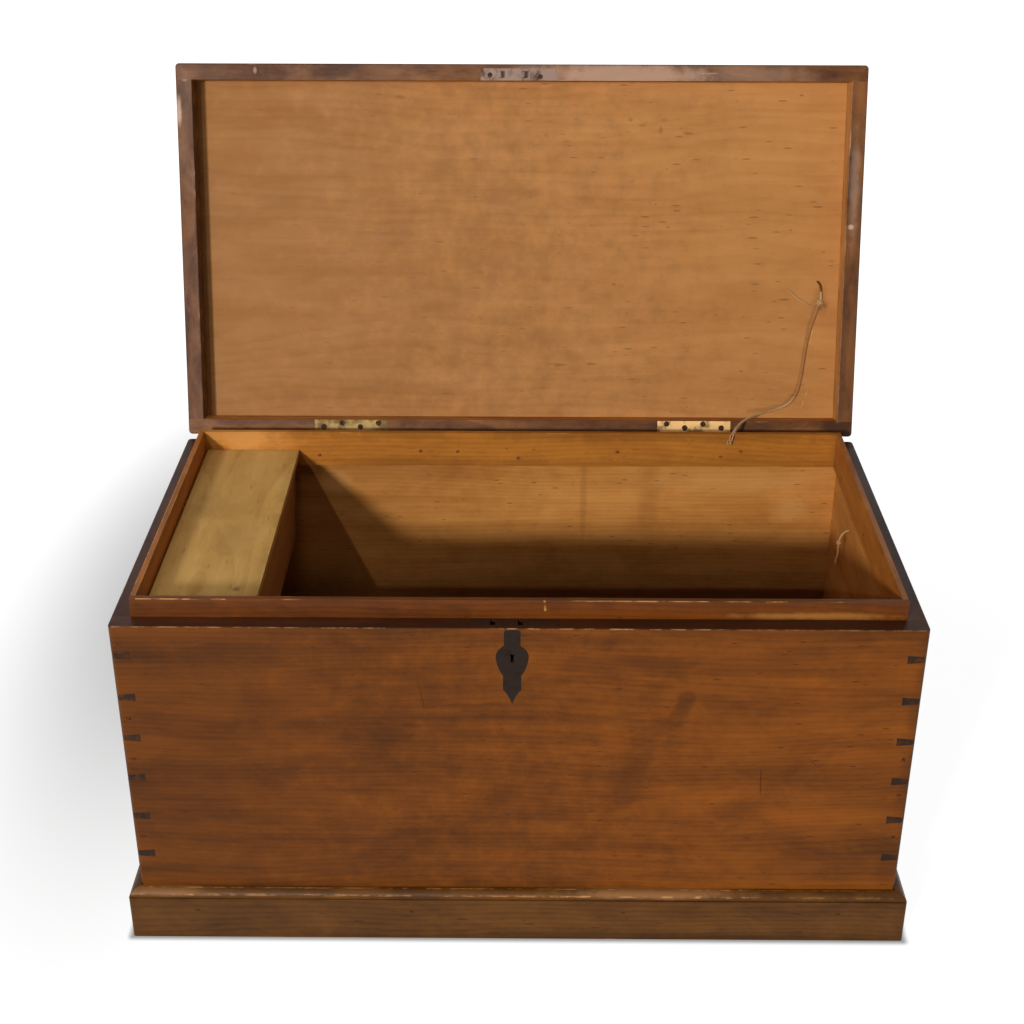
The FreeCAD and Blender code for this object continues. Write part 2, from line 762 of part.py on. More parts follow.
def lock(key_way):
    """The lock's pieces; returns the mortise that the front board is cut for."""
    plate_y = (f"{FRONT_IN} - Sizes.lock_plate_thick", FRONT_IN)
    selvage = box("selvage", LOCK_X, ("Sizes.selvage_front", FRONT_IN), (CAP_Z[1], LEDGE))
    back_plate = box("lock_back", LOCK_X, plate_y, (f"{LEDGE} - Sizes.lock_height", LEDGE))
    slots = []
    for name, x in LINKS.items():
        across = about(x, "Sizes.link_width + 2 * Sizes.link_slot_room")
        deep = about("Sizes.link_y", "Sizes.link_depth + 2 * Sizes.link_slot_room")
        slots.append(box(name + "_slot", across, deep, (f"{LEDGE} - Sizes.selvage_slot_depth", LEDGE)))
    screws = [
        screw("lock_screw", "-y", (x, FRONT_IN, f"{LEDGE} - {drop}"), LOCK_SCREW_LENGTH, LOCK_SCREW_SCALE)
        for x in LOCK_SCREW_X
        for drop in LOCK_SCREW_DROPS
    ]
    lock_screws = keep(group("lock_screws", screws), "lock_screws")
    plate = union("lock_plate_solid", [selvage, back_plate])
    keep(cut("lock_plate", plate, slots + [lock_screws]), "lock_plate")

    cap_y = ("Sizes.selvage_front", f"{FRONT_IN} - Sizes.lock_plate_thick")
    cap = box("cap_block", CAP_X, cap_y, CAP_Z)
    room = box(
        "cap_room",
        ("-(Sizes.cap_left - Sizes.cap_wall)", "Sizes.cap_right - Sizes.cap_wall"),
        ("Sizes.selvage_front + Sizes.cap_wall", FRONT_IN),
        (f"{CAP_Z[0]} + Sizes.cap_wall", LEDGE),
    )
    keep(cut("lock_cap", cap, [room, key_way]), "lock_cap")

    bolt_y = ("Sizes.bolt_front", "Sizes.bolt_front + Sizes.bolt_thick")
    pieces = []
    for name, x in LINKS.items():
        tip = f"{x} - Sizes.link_width / 2 - Sizes.finger_gap"
        root = f"{tip} - Sizes.finger_length"
        arm_x = (f"{root} - Sizes.bolt_arm", root)
        pieces.append(box(name + "_arm", arm_x, bolt_y, (BOLT_BAR_Z[0], BOLT_FINGER_Z[1])))
        pieces.append(box(name + "_finger", (arm_x[0], tip), bolt_y, BOLT_FINGER_Z))
        if name == "left":
            bar_left = arm_x[0]
    bar_x = (bar_left, "Sizes.link_right_x + Sizes.bolt_bar_past_link")
    bar_y = (bolt_y[0], f"{plate_y[0]} - Sizes.bolt_bar_gap")
    pieces.append(box("bolt_bar", bar_x, bar_y, BOLT_BAR_Z))
    keep(union("lock_bolt", pieces), "lock_bolt")

    spring_x = ("Sizes.link_right_x + Sizes.link_width / 2", "Sizes.cap_right - Sizes.cap_wall")
    spring_y = ("Sizes.bolt_front", "Sizes.bolt_front + Sizes.spring_width")
    spring_foot = f"{BOLT_BAR_TOP} + Sizes.spring_gap"
    spring_z = (spring_foot, f"{spring_foot} + Sizes.spring_thick")
    keep(box("lock_spring", spring_x, spring_y, spring_z), "lock_spring")
    pin_y = ("Sizes.escutcheon_thick + Sizes.key_pin_back", plate_y[0])
    at = ("Sizes.keyhole_x", KEYHOLE_Z)
    keep(rod("key_pin", "y", at, pin_y, "Sizes.key_pin_radius"), "key_pin")
    return [
        box("selvage_recess", LOCK_X, ("Sizes.selvage_front", FRONT_IN), (CAP_Z[1], LEDGE)),
        box("plate_recess", LOCK_X, plate_y, (f"{LEDGE} - Sizes.lock_height", LEDGE)),
        box("cap_mortise", CAP_X, cap_y, CAP_Z),
        lock_screws,
        key_way,
    ]


# The radii of the arcs in the escutcheon's outline
STEM_ARC = "4.8"
LOBE_TOP_ARC = "16"
LOBE_FOOT_ARC = "55"
POINT_ARC = "45"


def escutcheon(key_way):
    """The iron plate let in round the keyhole: a stem, a lobe and a pointed foot."""
    middle = "Sizes.keyhole_x"

    stem = "Sizes.stem_half"
    lobe = "Sizes.lobe_half"
    lower = "Sizes.lower_stem_half"

    def at(half, drop, *arc):
        return (f"{middle} + ({half})", f"{LEDGE} - ({drop})", *arc)

    corners = [
        at(f"Sizes.stem_round - {stem}", "Sizes.plate_top"),
        at(f"{stem} - Sizes.stem_round", "Sizes.plate_top", STEM_ARC, 1),
        at(stem, "Sizes.plate_top + Sizes.stem_round"),
        at(stem, "Sizes.stem_drop"),
        at(f"{stem} + Sizes.stem_round", "Sizes.stem_drop + Sizes.stem_round", LOBE_TOP_ARC, 1),
        at(lobe, "Sizes.lobe_drop", LOBE_FOOT_ARC, 1),
        at(lower, "Sizes.lobe_foot_drop"),
        at(lower, "Sizes.point_start_drop", POINT_ARC, -1),
        at(0, "Sizes.point_drop", POINT_ARC, -1),
        at(f"-{lower}", "Sizes.point_start_drop"),
        at(f"-{lower}", "Sizes.lobe_foot_drop", LOBE_FOOT_ARC, 1),
        at(f"-{lobe}", "Sizes.lobe_drop", LOBE_TOP_ARC, 1),
        at(f"-{stem} - Sizes.stem_round", "Sizes.stem_drop + Sizes.stem_round"),
        at(f"-{stem}", "Sizes.stem_drop"),
        at(f"-{stem}", "Sizes.plate_top + Sizes.stem_round", STEM_ARC, 1),
    ]
    plate = extrusion("escutcheon_plate", "XZ_Plane", corners, FRONT, "Sizes.escutcheon_thick")
    keep(cut("escutcheon", plate, [key_way]), "escutcheon")
    return plate


STRIKER_SCREWS = [(-42, 14), (25, 16)]
STRIKER_SCREW_LENGTH = "14"
STRIKER_SCREW_SCALE = 0.85


def striker():
    """The striker plate under the lid's front rim with its two links; returns what the rim is cut for."""
    thick = (RIM_FOOT, f"{RIM_FOOT} + Sizes.striker_thick")
    y = ("Sizes.striker_front", "Sizes.rim_width")
    solid = [box("striker_block", LOCK_X, y, thick)]
    holes = []
    for name, x in LINKS.items():
        foot = f"{RIM_FOOT} - Sizes.link_height"
        across = about(x, "Sizes.link_width")
        solid.append(box(name + "_link", across, about("Sizes.link_y", "Sizes.link_depth"), (foot, thick[1])))
        deep = about("Sizes.link_y", "Sizes.link_depth - 2 * Sizes.link_wall")
        room_foot = f"{foot} + Sizes.link_wall"
        holes.append(box(name + "_link_hole", across, deep, (room_foot, f"{room_foot} + Sizes.link_window")))
    screws = group(
        "striker_screws_shut",
        [
            screw("striker_screw", "+z", (x, y_place, RIM_FOOT), STRIKER_SCREW_LENGTH, STRIKER_SCREW_SCALE)
            for x, y_place in STRIKER_SCREWS
        ],
    )
    keep_open(cut("striker_shut", union("striker_solid", solid), holes + [screws]), "striker_plate")
    keep_open(screws, "striker_screws")
    return [box("striker_recess", LOCK_X, y, thick), screws]


# ------------------------------------------------------------------------------------------------
# Till: a lidded box across the left end, its side and floor housed in the front and back boards
# ------------------------------------------------------------------------------------------------
def till():
    """The till; returns the pieces that the front and back boards are housed for, and the pivots."""
    top = f"{LEDGE} - Sizes.till_drop"
    under_lid = f"({top} - Sizes.till_lid_thick)"
    foot = f"{LEDGE} - Sizes.till_foot"
    housed = (f"{FRONT_IN} - Sizes.till_housing", f"{BACK_IN} + Sizes.till_housing")

    # the side board leans outwards at its foot, towards the left end
    outer_top = f"(Sizes.till_side_in - {IN})"
    outer_foot = f"({outer_top} - Sizes.till_side_lean)"
    inner_top = f"{outer_top} - Sizes.till_side_thick"
    corners = [
        (inner_top, under_lid),
        (f"{outer_foot} - Sizes.till_side_thick", foot),
        (outer_foot, foot),
        (outer_top, under_lid),
    ]
    board = extrusion("till_side_blank", "XZ_Plane", corners, *housed)
    reach = (f"{inner_top} - Sizes.till_notch_room", f"{outer_top} + Sizes.till_notch_room")
    above = (LIP_FOOT, LIP_TOP)
    notches = [
        box("front_notch", reach, (FRONT, FRONT_LIP_IN), above),
        box("back_notch", reach, (BACK_LIP_IN, BACK), above),
    ]
    side_board = keep(cut("till_side_board", board, notches), "till_side_board")

    height = "(Sizes.till_foot - Sizes.till_drop - Sizes.till_lid_thick)"
    drift = f"Sizes.till_side_lean * Sizes.till_floor_thick / {height}"
    inner_foot = f"{outer_foot} - Sizes.till_side_thick"
    corners = [
        (f"-{IN}", foot),
        (inner_foot, foot),
        (f"{inner_foot} + {drift}", f"{foot} + Sizes.till_floor_thick"),
        (f"-{IN}", f"{foot} + Sizes.till_floor_thick"),
    ]
    floor = keep(extrusion("till_bottom_board", "XZ_Plane", corners, *housed), "till_bottom_board")

    # the lid is rounded round its pivot edge, and its pivots are turned on the same piece
    round_edge = "Sizes.till_lid_thick / 2"
    pivot_x = f"(Sizes.till_pivot_in - {IN})"
    free_edge = f"Sizes.till_width - {IN}"
    corners = [
        (pivot_x, under_lid),
        (free_edge, under_lid),
        (free_edge, top),
        (pivot_x, top, round_edge, -1),
        (f"{pivot_x} - {round_edge}", f"{top} - {round_edge}", round_edge, -1),
    ]
    ends = (f"{FRONT_LIP_IN} + Sizes.till_end_gap", f"{BACK_LIP_IN} - Sizes.till_end_gap")
    leaf = extrusion("till_lid_leaf", "XZ_Plane", corners, *ends)
    axis = (pivot_x, f"{top} - {round_edge}")
    end_gap = "Sizes.till_pivot_end_gap"
    reach = (f"{FRONT_IN} + {end_gap}", f"{BACK_IN} - {end_gap}")
    pivots = rod("till_pivots", "y", axis, reach, "Sizes.till_pivot_radius")
    keep(union("till_lid", [leaf, pivots]), "till_lid")
    bores = rod("till_bores", "y", axis, (FRONT_IN, BACK_IN), "Sizes.till_bore_radius")
    return [side_board, floor], bores


# ------------------------------------------------------------------------------------------------
# End handles
# ------------------------------------------------------------------------------------------------
HANDLE_SCREWS = [(-22, -12), (22, -12), (-22, 12), (22, 12)]
HANDLE_SCREW_LENGTH = "16"
HANDLE_SCREW_SCALE = 0.85


def handle(side):
    """One iron drop handle; returns its screws, which the end board is cut for."""
    sign = SIDES[side]
    middle_y = "Sizes.carcass_depth / 2"
    height = "Sizes.handle_height"
    axis_x = f"{sign} * ({OUT} + Sizes.handle_axis_out)"
    face = f"{OUT} + Sizes.handle_plate_thick"
    plate_y = about(middle_y, "Sizes.handle_plate_length")
    solid = [
        box("handle_base", outward(sign, OUT, face), plate_y, about(height, "Sizes.handle_plate_height"))
    ]
    bores = []
    for end in (-1, 1):
        ear_y = about(f"{middle_y} + {end} * Sizes.ear_spacing / 2", "Sizes.ear_thick")
        root = outward(sign, OUT, f"{OUT} + Sizes.handle_axis_out")
        solid.append(box("ear_root", root, ear_y, about(height, "2 * Sizes.ear_radius")))
        solid.append(rod("ear", "y", (axis_x, height), ear_y, "Sizes.ear_radius"))
        bores.append(rod("ear_bore", "y", (axis_x, height), ear_y, "Sizes.bail_bore_radius"))
    into = "-x" if sign > 0 else "+x"
    screws = group(
        f"handle_screws_{side}",
        [
            screw(
                "handle_screw",
                into,
                (f"{sign} * ({face})", f"{middle_y} + {along}", f"{height} + {rise}"),
                HANDLE_SCREW_LENGTH,
                HANDLE_SCREW_SCALE,
            )
            for along, rise in HANDLE_SCREWS
        ],
    )
    keep(cut(f"handle_plate_{side}", union("handle_solid", solid), bores + [screws]), f"handle_plate_{side}")
    keep(screws, f"handle_screws_{side}")
    bail(side, axis_x)
    return screws


def bail(side, axis_x):
    """The drop of one handle: a bent bar with an eye and a stub at each end, hanging straight down."""
    x = size(axis_x)
    middle = size("Sizes.carcass_depth / 2")
    top = size("Sizes.handle_height")
    half = size("Sizes.bail_width / 2")
    foot = top - size("Sizes.bail_drop")
    bend = size("Sizes.bail_bend")
    radius = size("Sizes.bail_radius")
    left = middle - half
    right = middle + half
    slack = bend * (1 - math.sqrt(0.5))
    edges = [
        Part.LineSegment(Vector(x, left, top), Vector(x, left, foot + bend)),
        Part.Arc(
            Vector(x, left, foot + bend),
            Vector(x, left + slack, foot + slack),
            Vector(x, left + bend, foot),
        ),
        Part.LineSegment(Vector(x, left + bend, foot), Vector(x, right - bend, foot)),
        Part.Arc(
            Vector(x, right - bend, foot),
            Vector(x, right - slack, foot + slack),
            Vector(x, right, foot + bend),
        ),
        Part.LineSegment(Vector(x, right, foot + bend), Vector(x, right, top)),
    ]
    path = Part.Wire([edge.toShape() for edge in edges])
    turns = [math.tau * side / BAIL_SIDES for side in range(BAIL_SIDES)]
    ring = [Vector(x + radius * math.cos(turn), left + radius * math.sin(turn), top) for turn in turns]
    section = Part.makePolygon(ring + ring[:1])
    bar = doc.addObject("Part::Feature", f"bail_bar_{side}")
    bar.Shape = path.makePipeShell([section], True, True)
    pieces = [bar]
    height = "Sizes.handle_height"
    for end in (-1, 1):
        arm_y = f"Sizes.carcass_depth / 2 + {end} * Sizes.bail_width / 2"
        eye_radius = "Sizes.bail_radius + Sizes.bail_eye_wall"
        eye = about(arm_y, f"2 * ({eye_radius})")
        pieces.append(rod("bail_eye", "y", (axis_x, height), eye, eye_radius))
        ear_y = f"Sizes.carcass_depth / 2 + {end} * Sizes.ear_spacing / 2"
        ear_far = f"{ear_y} + {end} * Sizes.ear_thick / 2"
        stub = (arm_y, ear_far) if end > 0 else (ear_far, arm_y)
        pieces.append(rod("bail_stub", "y", (axis_x, height), stub, "Sizes.bail_stub_radius"))
    keep(union(f"handle_bail_{side}", pieces), f"handle_bail_{side}")


# ------------------------------------------------------------------------------------------------
# Cords and the bent nail that the stay cord is tied to
# ------------------------------------------------------------------------------------------------
# The bent nail, driven into the lid board from inside, with the lid shut: how far in from the right
# side, how far in front of the hinge axis, and how far above the lid board's inner face
HOOK_ROUTE = [(50, 215.4, 8.7), (50, 215.4, -3.3), (46.8, 210.4, -4.7), (45.5, 202.4, -3.5)]

# What is left of the cord that once held the lid, with the lid open: down the inside of the lid
# board from the bent nail, along the foot of the recess, and over the back lip into the chest
STAY_CORD_ROUTE = [
    (414.5, 587, 625.6),
    (416.4, 585.4, 614),
    (409, 580.2, 595.5),
    (400.5, 572.8, 568.5),
    (396.6, 566.2, 546.5),
    (394.2, 560.7, 525),
    (391.2, 554.3, 503),
    (385.5, 548.3, 485),
    (373, 543, 472.5),
    (354, 538.6, 468),
    (335, 529.2, 467.5),
    (321, 514, 469),
    (309, 497, 471),
    (298, 480.5, 470),
    (290.5, 466.5, 463.5),
    (284, 461, 449.5),
]

# The short end of string that hangs out of the right end board
WALL_CORD_ROUTE = [
    (437.5, 355, 376),
    (430, 355, 373),
    (424.5, 352, 364.5),
    (423.5, 348.5, 353),
    (423, 346.5, 341),
    (420, 345, 329),
]


def cords():
    """Both cords and the bent nail; returns the nail where it is with the lid shut."""
    side, axis, face = size(OUT), size(HINGE_Y), size(RIM_TOP)
    route = [(side - inward, axis - ahead, face + above) for inward, ahead, above in HOOK_ROUTE]
    hook = tube("stay_hook_shut", route, size("Sizes.hook_radius"))
    keep_open(hook, "stay_hook")
    stay = size("Sizes.stay_cord_radius")
    wall = size("Sizes.wall_cord_radius")
    keep(tube("stay_cord", STAY_CORD_ROUTE, stay, 6 * stay), "stay_cord")
    keep(tube("wall_cord", WALL_CORD_ROUTE, wall, 6 * wall), "wall_cord")
    return hook


# ------------------------------------------------------------------------------------------------
# Boards
# ------------------------------------------------------------------------------------------------
def plinth(nails):
    """Four boards with an ovolo along the top, mitred round the carcass."""
    thick = "Sizes.plinth_thick"
    top = "Sizes.plinth_height"
    step = f"{top} - Sizes.plinth_ovolo"
    edge = "-(Sizes.plinth_flat + Sizes.plinth_ovolo)"
    blank = rounded_block(
        "plinth_outline",
        (f"-({OUT} + {thick})", f"{OUT} + {thick}"),
        (f"-{thick}", f"{BACK} + {thick}"),
        ("0", top),
        "Sizes.plinth_round",
    )
    boards = {
        "front": (0, OUT, ("0", "0")),
        "right": (90, f"{BACK} / 2", (OUT, f"{BACK} / 2")),
        "back": (180, OUT, ("0", BACK)),
        "left": (270, f"{BACK} / 2", (f"-({OUT})", f"{BACK} / 2")),
    }
    for side, (turn, half, (x, y)) in boards.items():
        profile = [
            (f"-{thick}", "0"),
            ("0", "0"),
            ("0", top),
            ("-Sizes.plinth_flat", top, "Sizes.plinth_ovolo", -1),
            (edge, step),
            (edge, f"{step} - Sizes.plinth_quirk"),
            (f"-{thick}", f"{step} - Sizes.plinth_quirk"),
        ]
        moulding = extrusion(
            f"plinth_moulding_{side}", "YZ_Plane", profile, f"-({half} + {thick})", f"{half} + {thick}"
        )
        plan = [
            (f"-({half} + {thick})", f"-{thick}"),
            (f"{half} + {thick}", f"-{thick}"),
            (half, "0"),
            (f"-({half})", "0"),
        ]
        mitres = extrusion(f"plinth_mitres_{side}", "XY_Plane", plan, "0", top)
        board = common(f"plinth_mitred_{side}", moulding, mitres)
        board.Placement = Placement(Vector(), Rotation(Vector(0, 0, 1), turn))
        place(board, x, y, "0")
        rounded = common(f"plinth_rounded_{side}", board, blank)
        keep(cut(f"plinth_{side}", rounded, [nails]), f"plinth_{side}")


def lips(nails, bores):
    """Four strips nailed inside the carcass, standing up past the ledge to keep dust out."""
    across = (f"-{IN}", IN)
    rise = (LIP_FOOT, LIP_TOP)
    strips = {
        "front": (across, (FRONT_IN, FRONT_LIP_IN), [nails, bores]),
        "back": (across, (BACK_LIP_IN, BACK_IN), [nails, bores]),
        "left": ((f"-{IN}", f"-{LIP_IN}"), (FRONT_LIP_IN, BACK_LIP_IN), [nails]),
        "right": ((LIP_IN, IN), (FRONT_LIP_IN, BACK_LIP_IN), [nails]),
    }
    for side, (x, y, tools) in strips.items():
        strip = box(f"lip_{side}_blank", x, y, rise)
        keep(cut(f"lip_{side}", strip, tools), f"lip_{side}")


def carcass(in_front, in_back, in_ends, in_bottom):
    """Front, back and end boards dovetailed together, and the bottom boards nailed underneath."""
    whole = rounded_block(
        "carcass_outline",
        (f"-({OUT})", OUT),
        (FRONT, BACK),
        (FOOT, LEDGE),
        "Sizes.corner_round",
        "Sizes.ledge_wear",
    )
    tail_boards = {"front": (FRONT, FRONT_IN), "back": (BACK_IN, BACK)}
    pins = {}
    for board, y in tail_boards.items():
        for side, sign in SIDES.items():
            pins[board, side] = [
                dovetail_pin(
                    f"pin_{board}_{side}",
                    sign,
                    y,
                    f"{LEDGE} - Sizes.pin_drop - Sizes.pin_pitch * {number}",
                    "Sizes.wall",
                )
                for number in range(CARCASS_PINS)
            ]
    for board, y in tail_boards.items():
        blank = box(f"{board}_blank", (f"-({OUT})", OUT), y, (FOOT, LEDGE))
        shaped = common(f"{board}_shaped", blank, whole)
        tools = pins[board, "left"] + pins[board, "right"]
        tools += in_front if board == "front" else in_back
        keep(cut(f"{board}_board", shaped, tools), f"{board}_board")
    for side, sign in SIDES.items():
        blank = box(f"{side}_blank", outward(sign, IN, OUT), (FRONT_IN, BACK_IN), (FOOT, LEDGE))
        pinned = union(f"{side}_pinned", [blank] + pins["front", side] + pins["back", side])
        shaped = common(f"{side}_shaped", pinned, whole)
        keep(cut(f"{side}_end_board", shaped, in_ends[side]), f"{side}_end_board")
    count = len(BOTTOM_BOARDS)
    for index, name in enumerate(BOTTOM_BOARDS):
        y = (f"{BACK} * {index} / {count}", f"{BACK} * {index + 1} / {count}")
        board = box(f"bottom_{name}_blank", (f"-({OUT})", OUT), y, ("Sizes.floor_clear", FOOT))
        keep(cut(f"bottom_board_{name}", board, in_bottom), f"bottom_board_{name}")


def lid(in_front, in_back, nails, hook):
    """The lid's four rims, sawn off the top of the carcass, and the board nailed on them."""
    keep_open(nails, "lid_nails")
    whole = rounded_block(
        "lid_outline",
        (f"-({OUT})", OUT),
        (FRONT, BACK),
        (RIM_FOOT, LID_TOP),
        "Sizes.corner_round",
        "Sizes.lid_wear",
        both=True,
    )
    width = "Sizes.rim_width"
    rim = (RIM_FOOT, RIM_TOP)
    tail_rims = {"front": (FRONT, width), "back": (f"{BACK} - {width}", BACK)}
    pins = {}
    for board, y in tail_rims.items():
        for side, sign in SIDES.items():
            middle = f"{RIM_FOOT} + Sizes.rim_height / 2"
            pins[board, side] = dovetail_pin(f"lid_pin_{board}_{side}", sign, y, middle, width)
    for board, y in tail_rims.items():
        blank = box(f"rim_{board}_blank", (f"-({OUT})", OUT), y, rim)
        shaped = common(f"rim_{board}_shaped", blank, whole)
        tools = [pins[board, "left"], pins[board, "right"], nails]
        tools += in_front if board == "front" else in_back
        keep_open(cut(f"rim_{board}_shut", shaped, tools), f"lid_rim_{board}")
    for side, sign in SIDES.items():
        x = outward(sign, f"{OUT} - {width}", OUT)
        blank = box(f"rim_{side}_blank", x, (width, f"{BACK} - {width}"), rim)
        pinned = union(f"rim_{side}_pinned", [blank, pins["front", side], pins["back", side]])
        shaped = common(f"rim_{side}_shaped", pinned, whole)
        keep_open(cut(f"rim_{side}_shut", shaped, [nails]), f"lid_rim_{side}")
    blank = box("lid_board_blank", (f"-({OUT})", OUT), (FRONT, BACK), (RIM_TOP, LID_TOP))
    shaped = common("lid_board_shaped", blank, whole)
    keep_open(cut("lid_board_shut", shaped, [nails, hook]), "lid_top_board")


# ------------------------------------------------------------------------------------------------
# The whole chest
# ------------------------------------------------------------------------------------------------
key_way = keyhole()
strips_nailed = lip_nails()
tails_nailed = dovetail_nails()
plinth_nailed = plinth_nails()
bottom_nailed = bottom_nails()
lid_nailed = lid_nails()
hinged_to_back, hinged_to_rim = hinges()
mortise = lock(key_way)
let_in = escutcheon(key_way)
struck = striker()
till_housed, till_bores = till()
handle_screws = {side: handle(side) for side in SIDES}
hook = cords()

walls_nailed = [strips_nailed, tails_nailed, plinth_nailed, bottom_nailed]
carcass(
    walls_nailed + mortise + [let_in] + till_housed,
    walls_nailed + hinged_to_back + till_housed,
    {side: walls_nailed + [handle_screws[side]] for side in SIDES},
    [bottom_nailed],
)
lips(strips_nailed, till_bores)
plinth(plinth_nailed)
lid(struck, hinged_to_rim, lid_nailed, hook)

doc.recompute()

for thing in doc.Objects:
    if "Invalid" in thing.State or "Error" in thing.State:
        raise RuntimeError(f"{thing.Label} failed: {thing.State}")
for node in nodes:
    if node.Shape.isNull() or not node.Shape.isValid() or not node.Shape.Solids:
        raise RuntimeError(f"{node.Label} has no valid solid")

os.makedirs("parts", exist_ok=True)
for node in nodes:
    node.Shape.exportStep(f"parts/{node.Label}.step")
print(f"{len(nodes)} sub-parts, {sum(len(node.Shape.Solids) for node in nodes)} solids")
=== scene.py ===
# %% [markdown]
# # A dovetailed blanket chest, standing open
# The chest is a box of softwood boards. Its four walls are joined by through dovetails, and its lid
# was sawn off the same box, so the lid has deep rims with dovetails of their own. The boards, hinges
# and lock arrive already shaped. This lesson gives them their old, handled surfaces, and adds what
# is too fine for the carpenter's drawing: slotted screws, hammered nail heads and twisted string.

# %% Load the chest
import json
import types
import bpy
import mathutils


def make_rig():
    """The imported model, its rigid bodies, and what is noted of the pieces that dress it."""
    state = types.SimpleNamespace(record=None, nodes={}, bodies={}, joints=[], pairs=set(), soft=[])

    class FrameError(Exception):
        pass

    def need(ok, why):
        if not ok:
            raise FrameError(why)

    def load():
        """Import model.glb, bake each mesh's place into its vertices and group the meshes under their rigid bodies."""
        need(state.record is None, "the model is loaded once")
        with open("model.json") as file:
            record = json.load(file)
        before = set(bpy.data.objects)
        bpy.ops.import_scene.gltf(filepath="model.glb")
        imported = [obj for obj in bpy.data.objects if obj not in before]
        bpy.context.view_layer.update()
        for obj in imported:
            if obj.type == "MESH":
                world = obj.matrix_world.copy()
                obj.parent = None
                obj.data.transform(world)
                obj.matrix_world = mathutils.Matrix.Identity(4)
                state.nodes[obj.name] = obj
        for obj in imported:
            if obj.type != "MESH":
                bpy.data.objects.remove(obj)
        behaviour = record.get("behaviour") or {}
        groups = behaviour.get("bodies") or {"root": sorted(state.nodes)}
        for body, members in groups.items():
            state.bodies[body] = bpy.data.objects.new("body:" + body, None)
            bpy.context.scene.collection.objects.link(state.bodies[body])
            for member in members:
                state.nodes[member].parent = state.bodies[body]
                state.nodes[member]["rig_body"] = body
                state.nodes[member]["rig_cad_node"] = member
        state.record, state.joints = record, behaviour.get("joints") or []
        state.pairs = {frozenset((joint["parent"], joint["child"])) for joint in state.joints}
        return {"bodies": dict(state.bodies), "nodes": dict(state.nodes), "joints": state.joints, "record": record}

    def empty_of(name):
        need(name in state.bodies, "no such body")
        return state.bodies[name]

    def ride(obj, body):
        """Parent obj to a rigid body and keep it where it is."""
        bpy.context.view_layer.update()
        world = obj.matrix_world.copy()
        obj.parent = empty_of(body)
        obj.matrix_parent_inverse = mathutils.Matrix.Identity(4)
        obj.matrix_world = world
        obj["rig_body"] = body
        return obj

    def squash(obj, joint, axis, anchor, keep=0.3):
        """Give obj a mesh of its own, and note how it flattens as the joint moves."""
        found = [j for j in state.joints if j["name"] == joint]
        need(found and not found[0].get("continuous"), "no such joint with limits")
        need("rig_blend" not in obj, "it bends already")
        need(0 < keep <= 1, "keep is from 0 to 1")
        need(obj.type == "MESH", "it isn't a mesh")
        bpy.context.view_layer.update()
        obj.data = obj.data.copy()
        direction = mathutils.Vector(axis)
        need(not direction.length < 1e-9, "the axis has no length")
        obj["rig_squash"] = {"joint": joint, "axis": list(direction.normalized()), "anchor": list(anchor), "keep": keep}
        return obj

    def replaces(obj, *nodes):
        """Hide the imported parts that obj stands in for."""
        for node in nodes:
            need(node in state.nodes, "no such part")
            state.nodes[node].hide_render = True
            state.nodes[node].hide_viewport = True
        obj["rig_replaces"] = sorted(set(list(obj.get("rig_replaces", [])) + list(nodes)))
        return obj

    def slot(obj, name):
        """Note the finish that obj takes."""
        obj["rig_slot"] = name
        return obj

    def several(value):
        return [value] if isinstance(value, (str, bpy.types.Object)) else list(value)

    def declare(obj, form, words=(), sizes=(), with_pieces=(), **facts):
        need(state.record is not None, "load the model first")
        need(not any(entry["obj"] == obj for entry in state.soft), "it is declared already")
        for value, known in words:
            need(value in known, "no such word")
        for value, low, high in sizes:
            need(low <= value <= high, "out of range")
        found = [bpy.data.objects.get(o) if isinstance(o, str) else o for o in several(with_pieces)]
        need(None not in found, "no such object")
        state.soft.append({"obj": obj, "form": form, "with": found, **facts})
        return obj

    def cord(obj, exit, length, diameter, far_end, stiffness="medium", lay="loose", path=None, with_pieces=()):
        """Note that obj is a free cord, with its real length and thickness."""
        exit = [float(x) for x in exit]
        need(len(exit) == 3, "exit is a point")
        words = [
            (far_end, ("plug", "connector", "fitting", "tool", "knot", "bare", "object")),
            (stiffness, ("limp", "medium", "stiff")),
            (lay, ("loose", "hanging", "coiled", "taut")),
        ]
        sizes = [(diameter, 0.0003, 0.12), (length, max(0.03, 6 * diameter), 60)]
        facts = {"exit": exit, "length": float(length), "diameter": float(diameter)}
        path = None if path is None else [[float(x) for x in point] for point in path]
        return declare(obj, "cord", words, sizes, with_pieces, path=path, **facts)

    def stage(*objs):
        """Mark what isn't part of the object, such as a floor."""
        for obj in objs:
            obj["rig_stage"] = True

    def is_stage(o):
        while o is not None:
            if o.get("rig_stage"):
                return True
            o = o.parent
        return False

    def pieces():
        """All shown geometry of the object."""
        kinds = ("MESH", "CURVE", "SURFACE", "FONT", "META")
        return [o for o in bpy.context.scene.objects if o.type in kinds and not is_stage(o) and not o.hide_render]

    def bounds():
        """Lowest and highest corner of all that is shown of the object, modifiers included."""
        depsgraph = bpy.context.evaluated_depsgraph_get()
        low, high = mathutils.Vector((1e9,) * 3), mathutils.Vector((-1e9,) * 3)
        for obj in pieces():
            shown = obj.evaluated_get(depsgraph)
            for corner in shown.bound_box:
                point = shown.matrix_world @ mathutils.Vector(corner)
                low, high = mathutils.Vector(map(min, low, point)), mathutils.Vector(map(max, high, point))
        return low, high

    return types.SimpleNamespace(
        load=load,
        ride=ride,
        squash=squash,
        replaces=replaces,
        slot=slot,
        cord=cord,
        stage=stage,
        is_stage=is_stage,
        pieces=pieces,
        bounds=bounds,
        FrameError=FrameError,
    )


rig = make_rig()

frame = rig.load()

import json
import math
import random

import bmesh
import bpy
from mathutils import Matrix, Vector

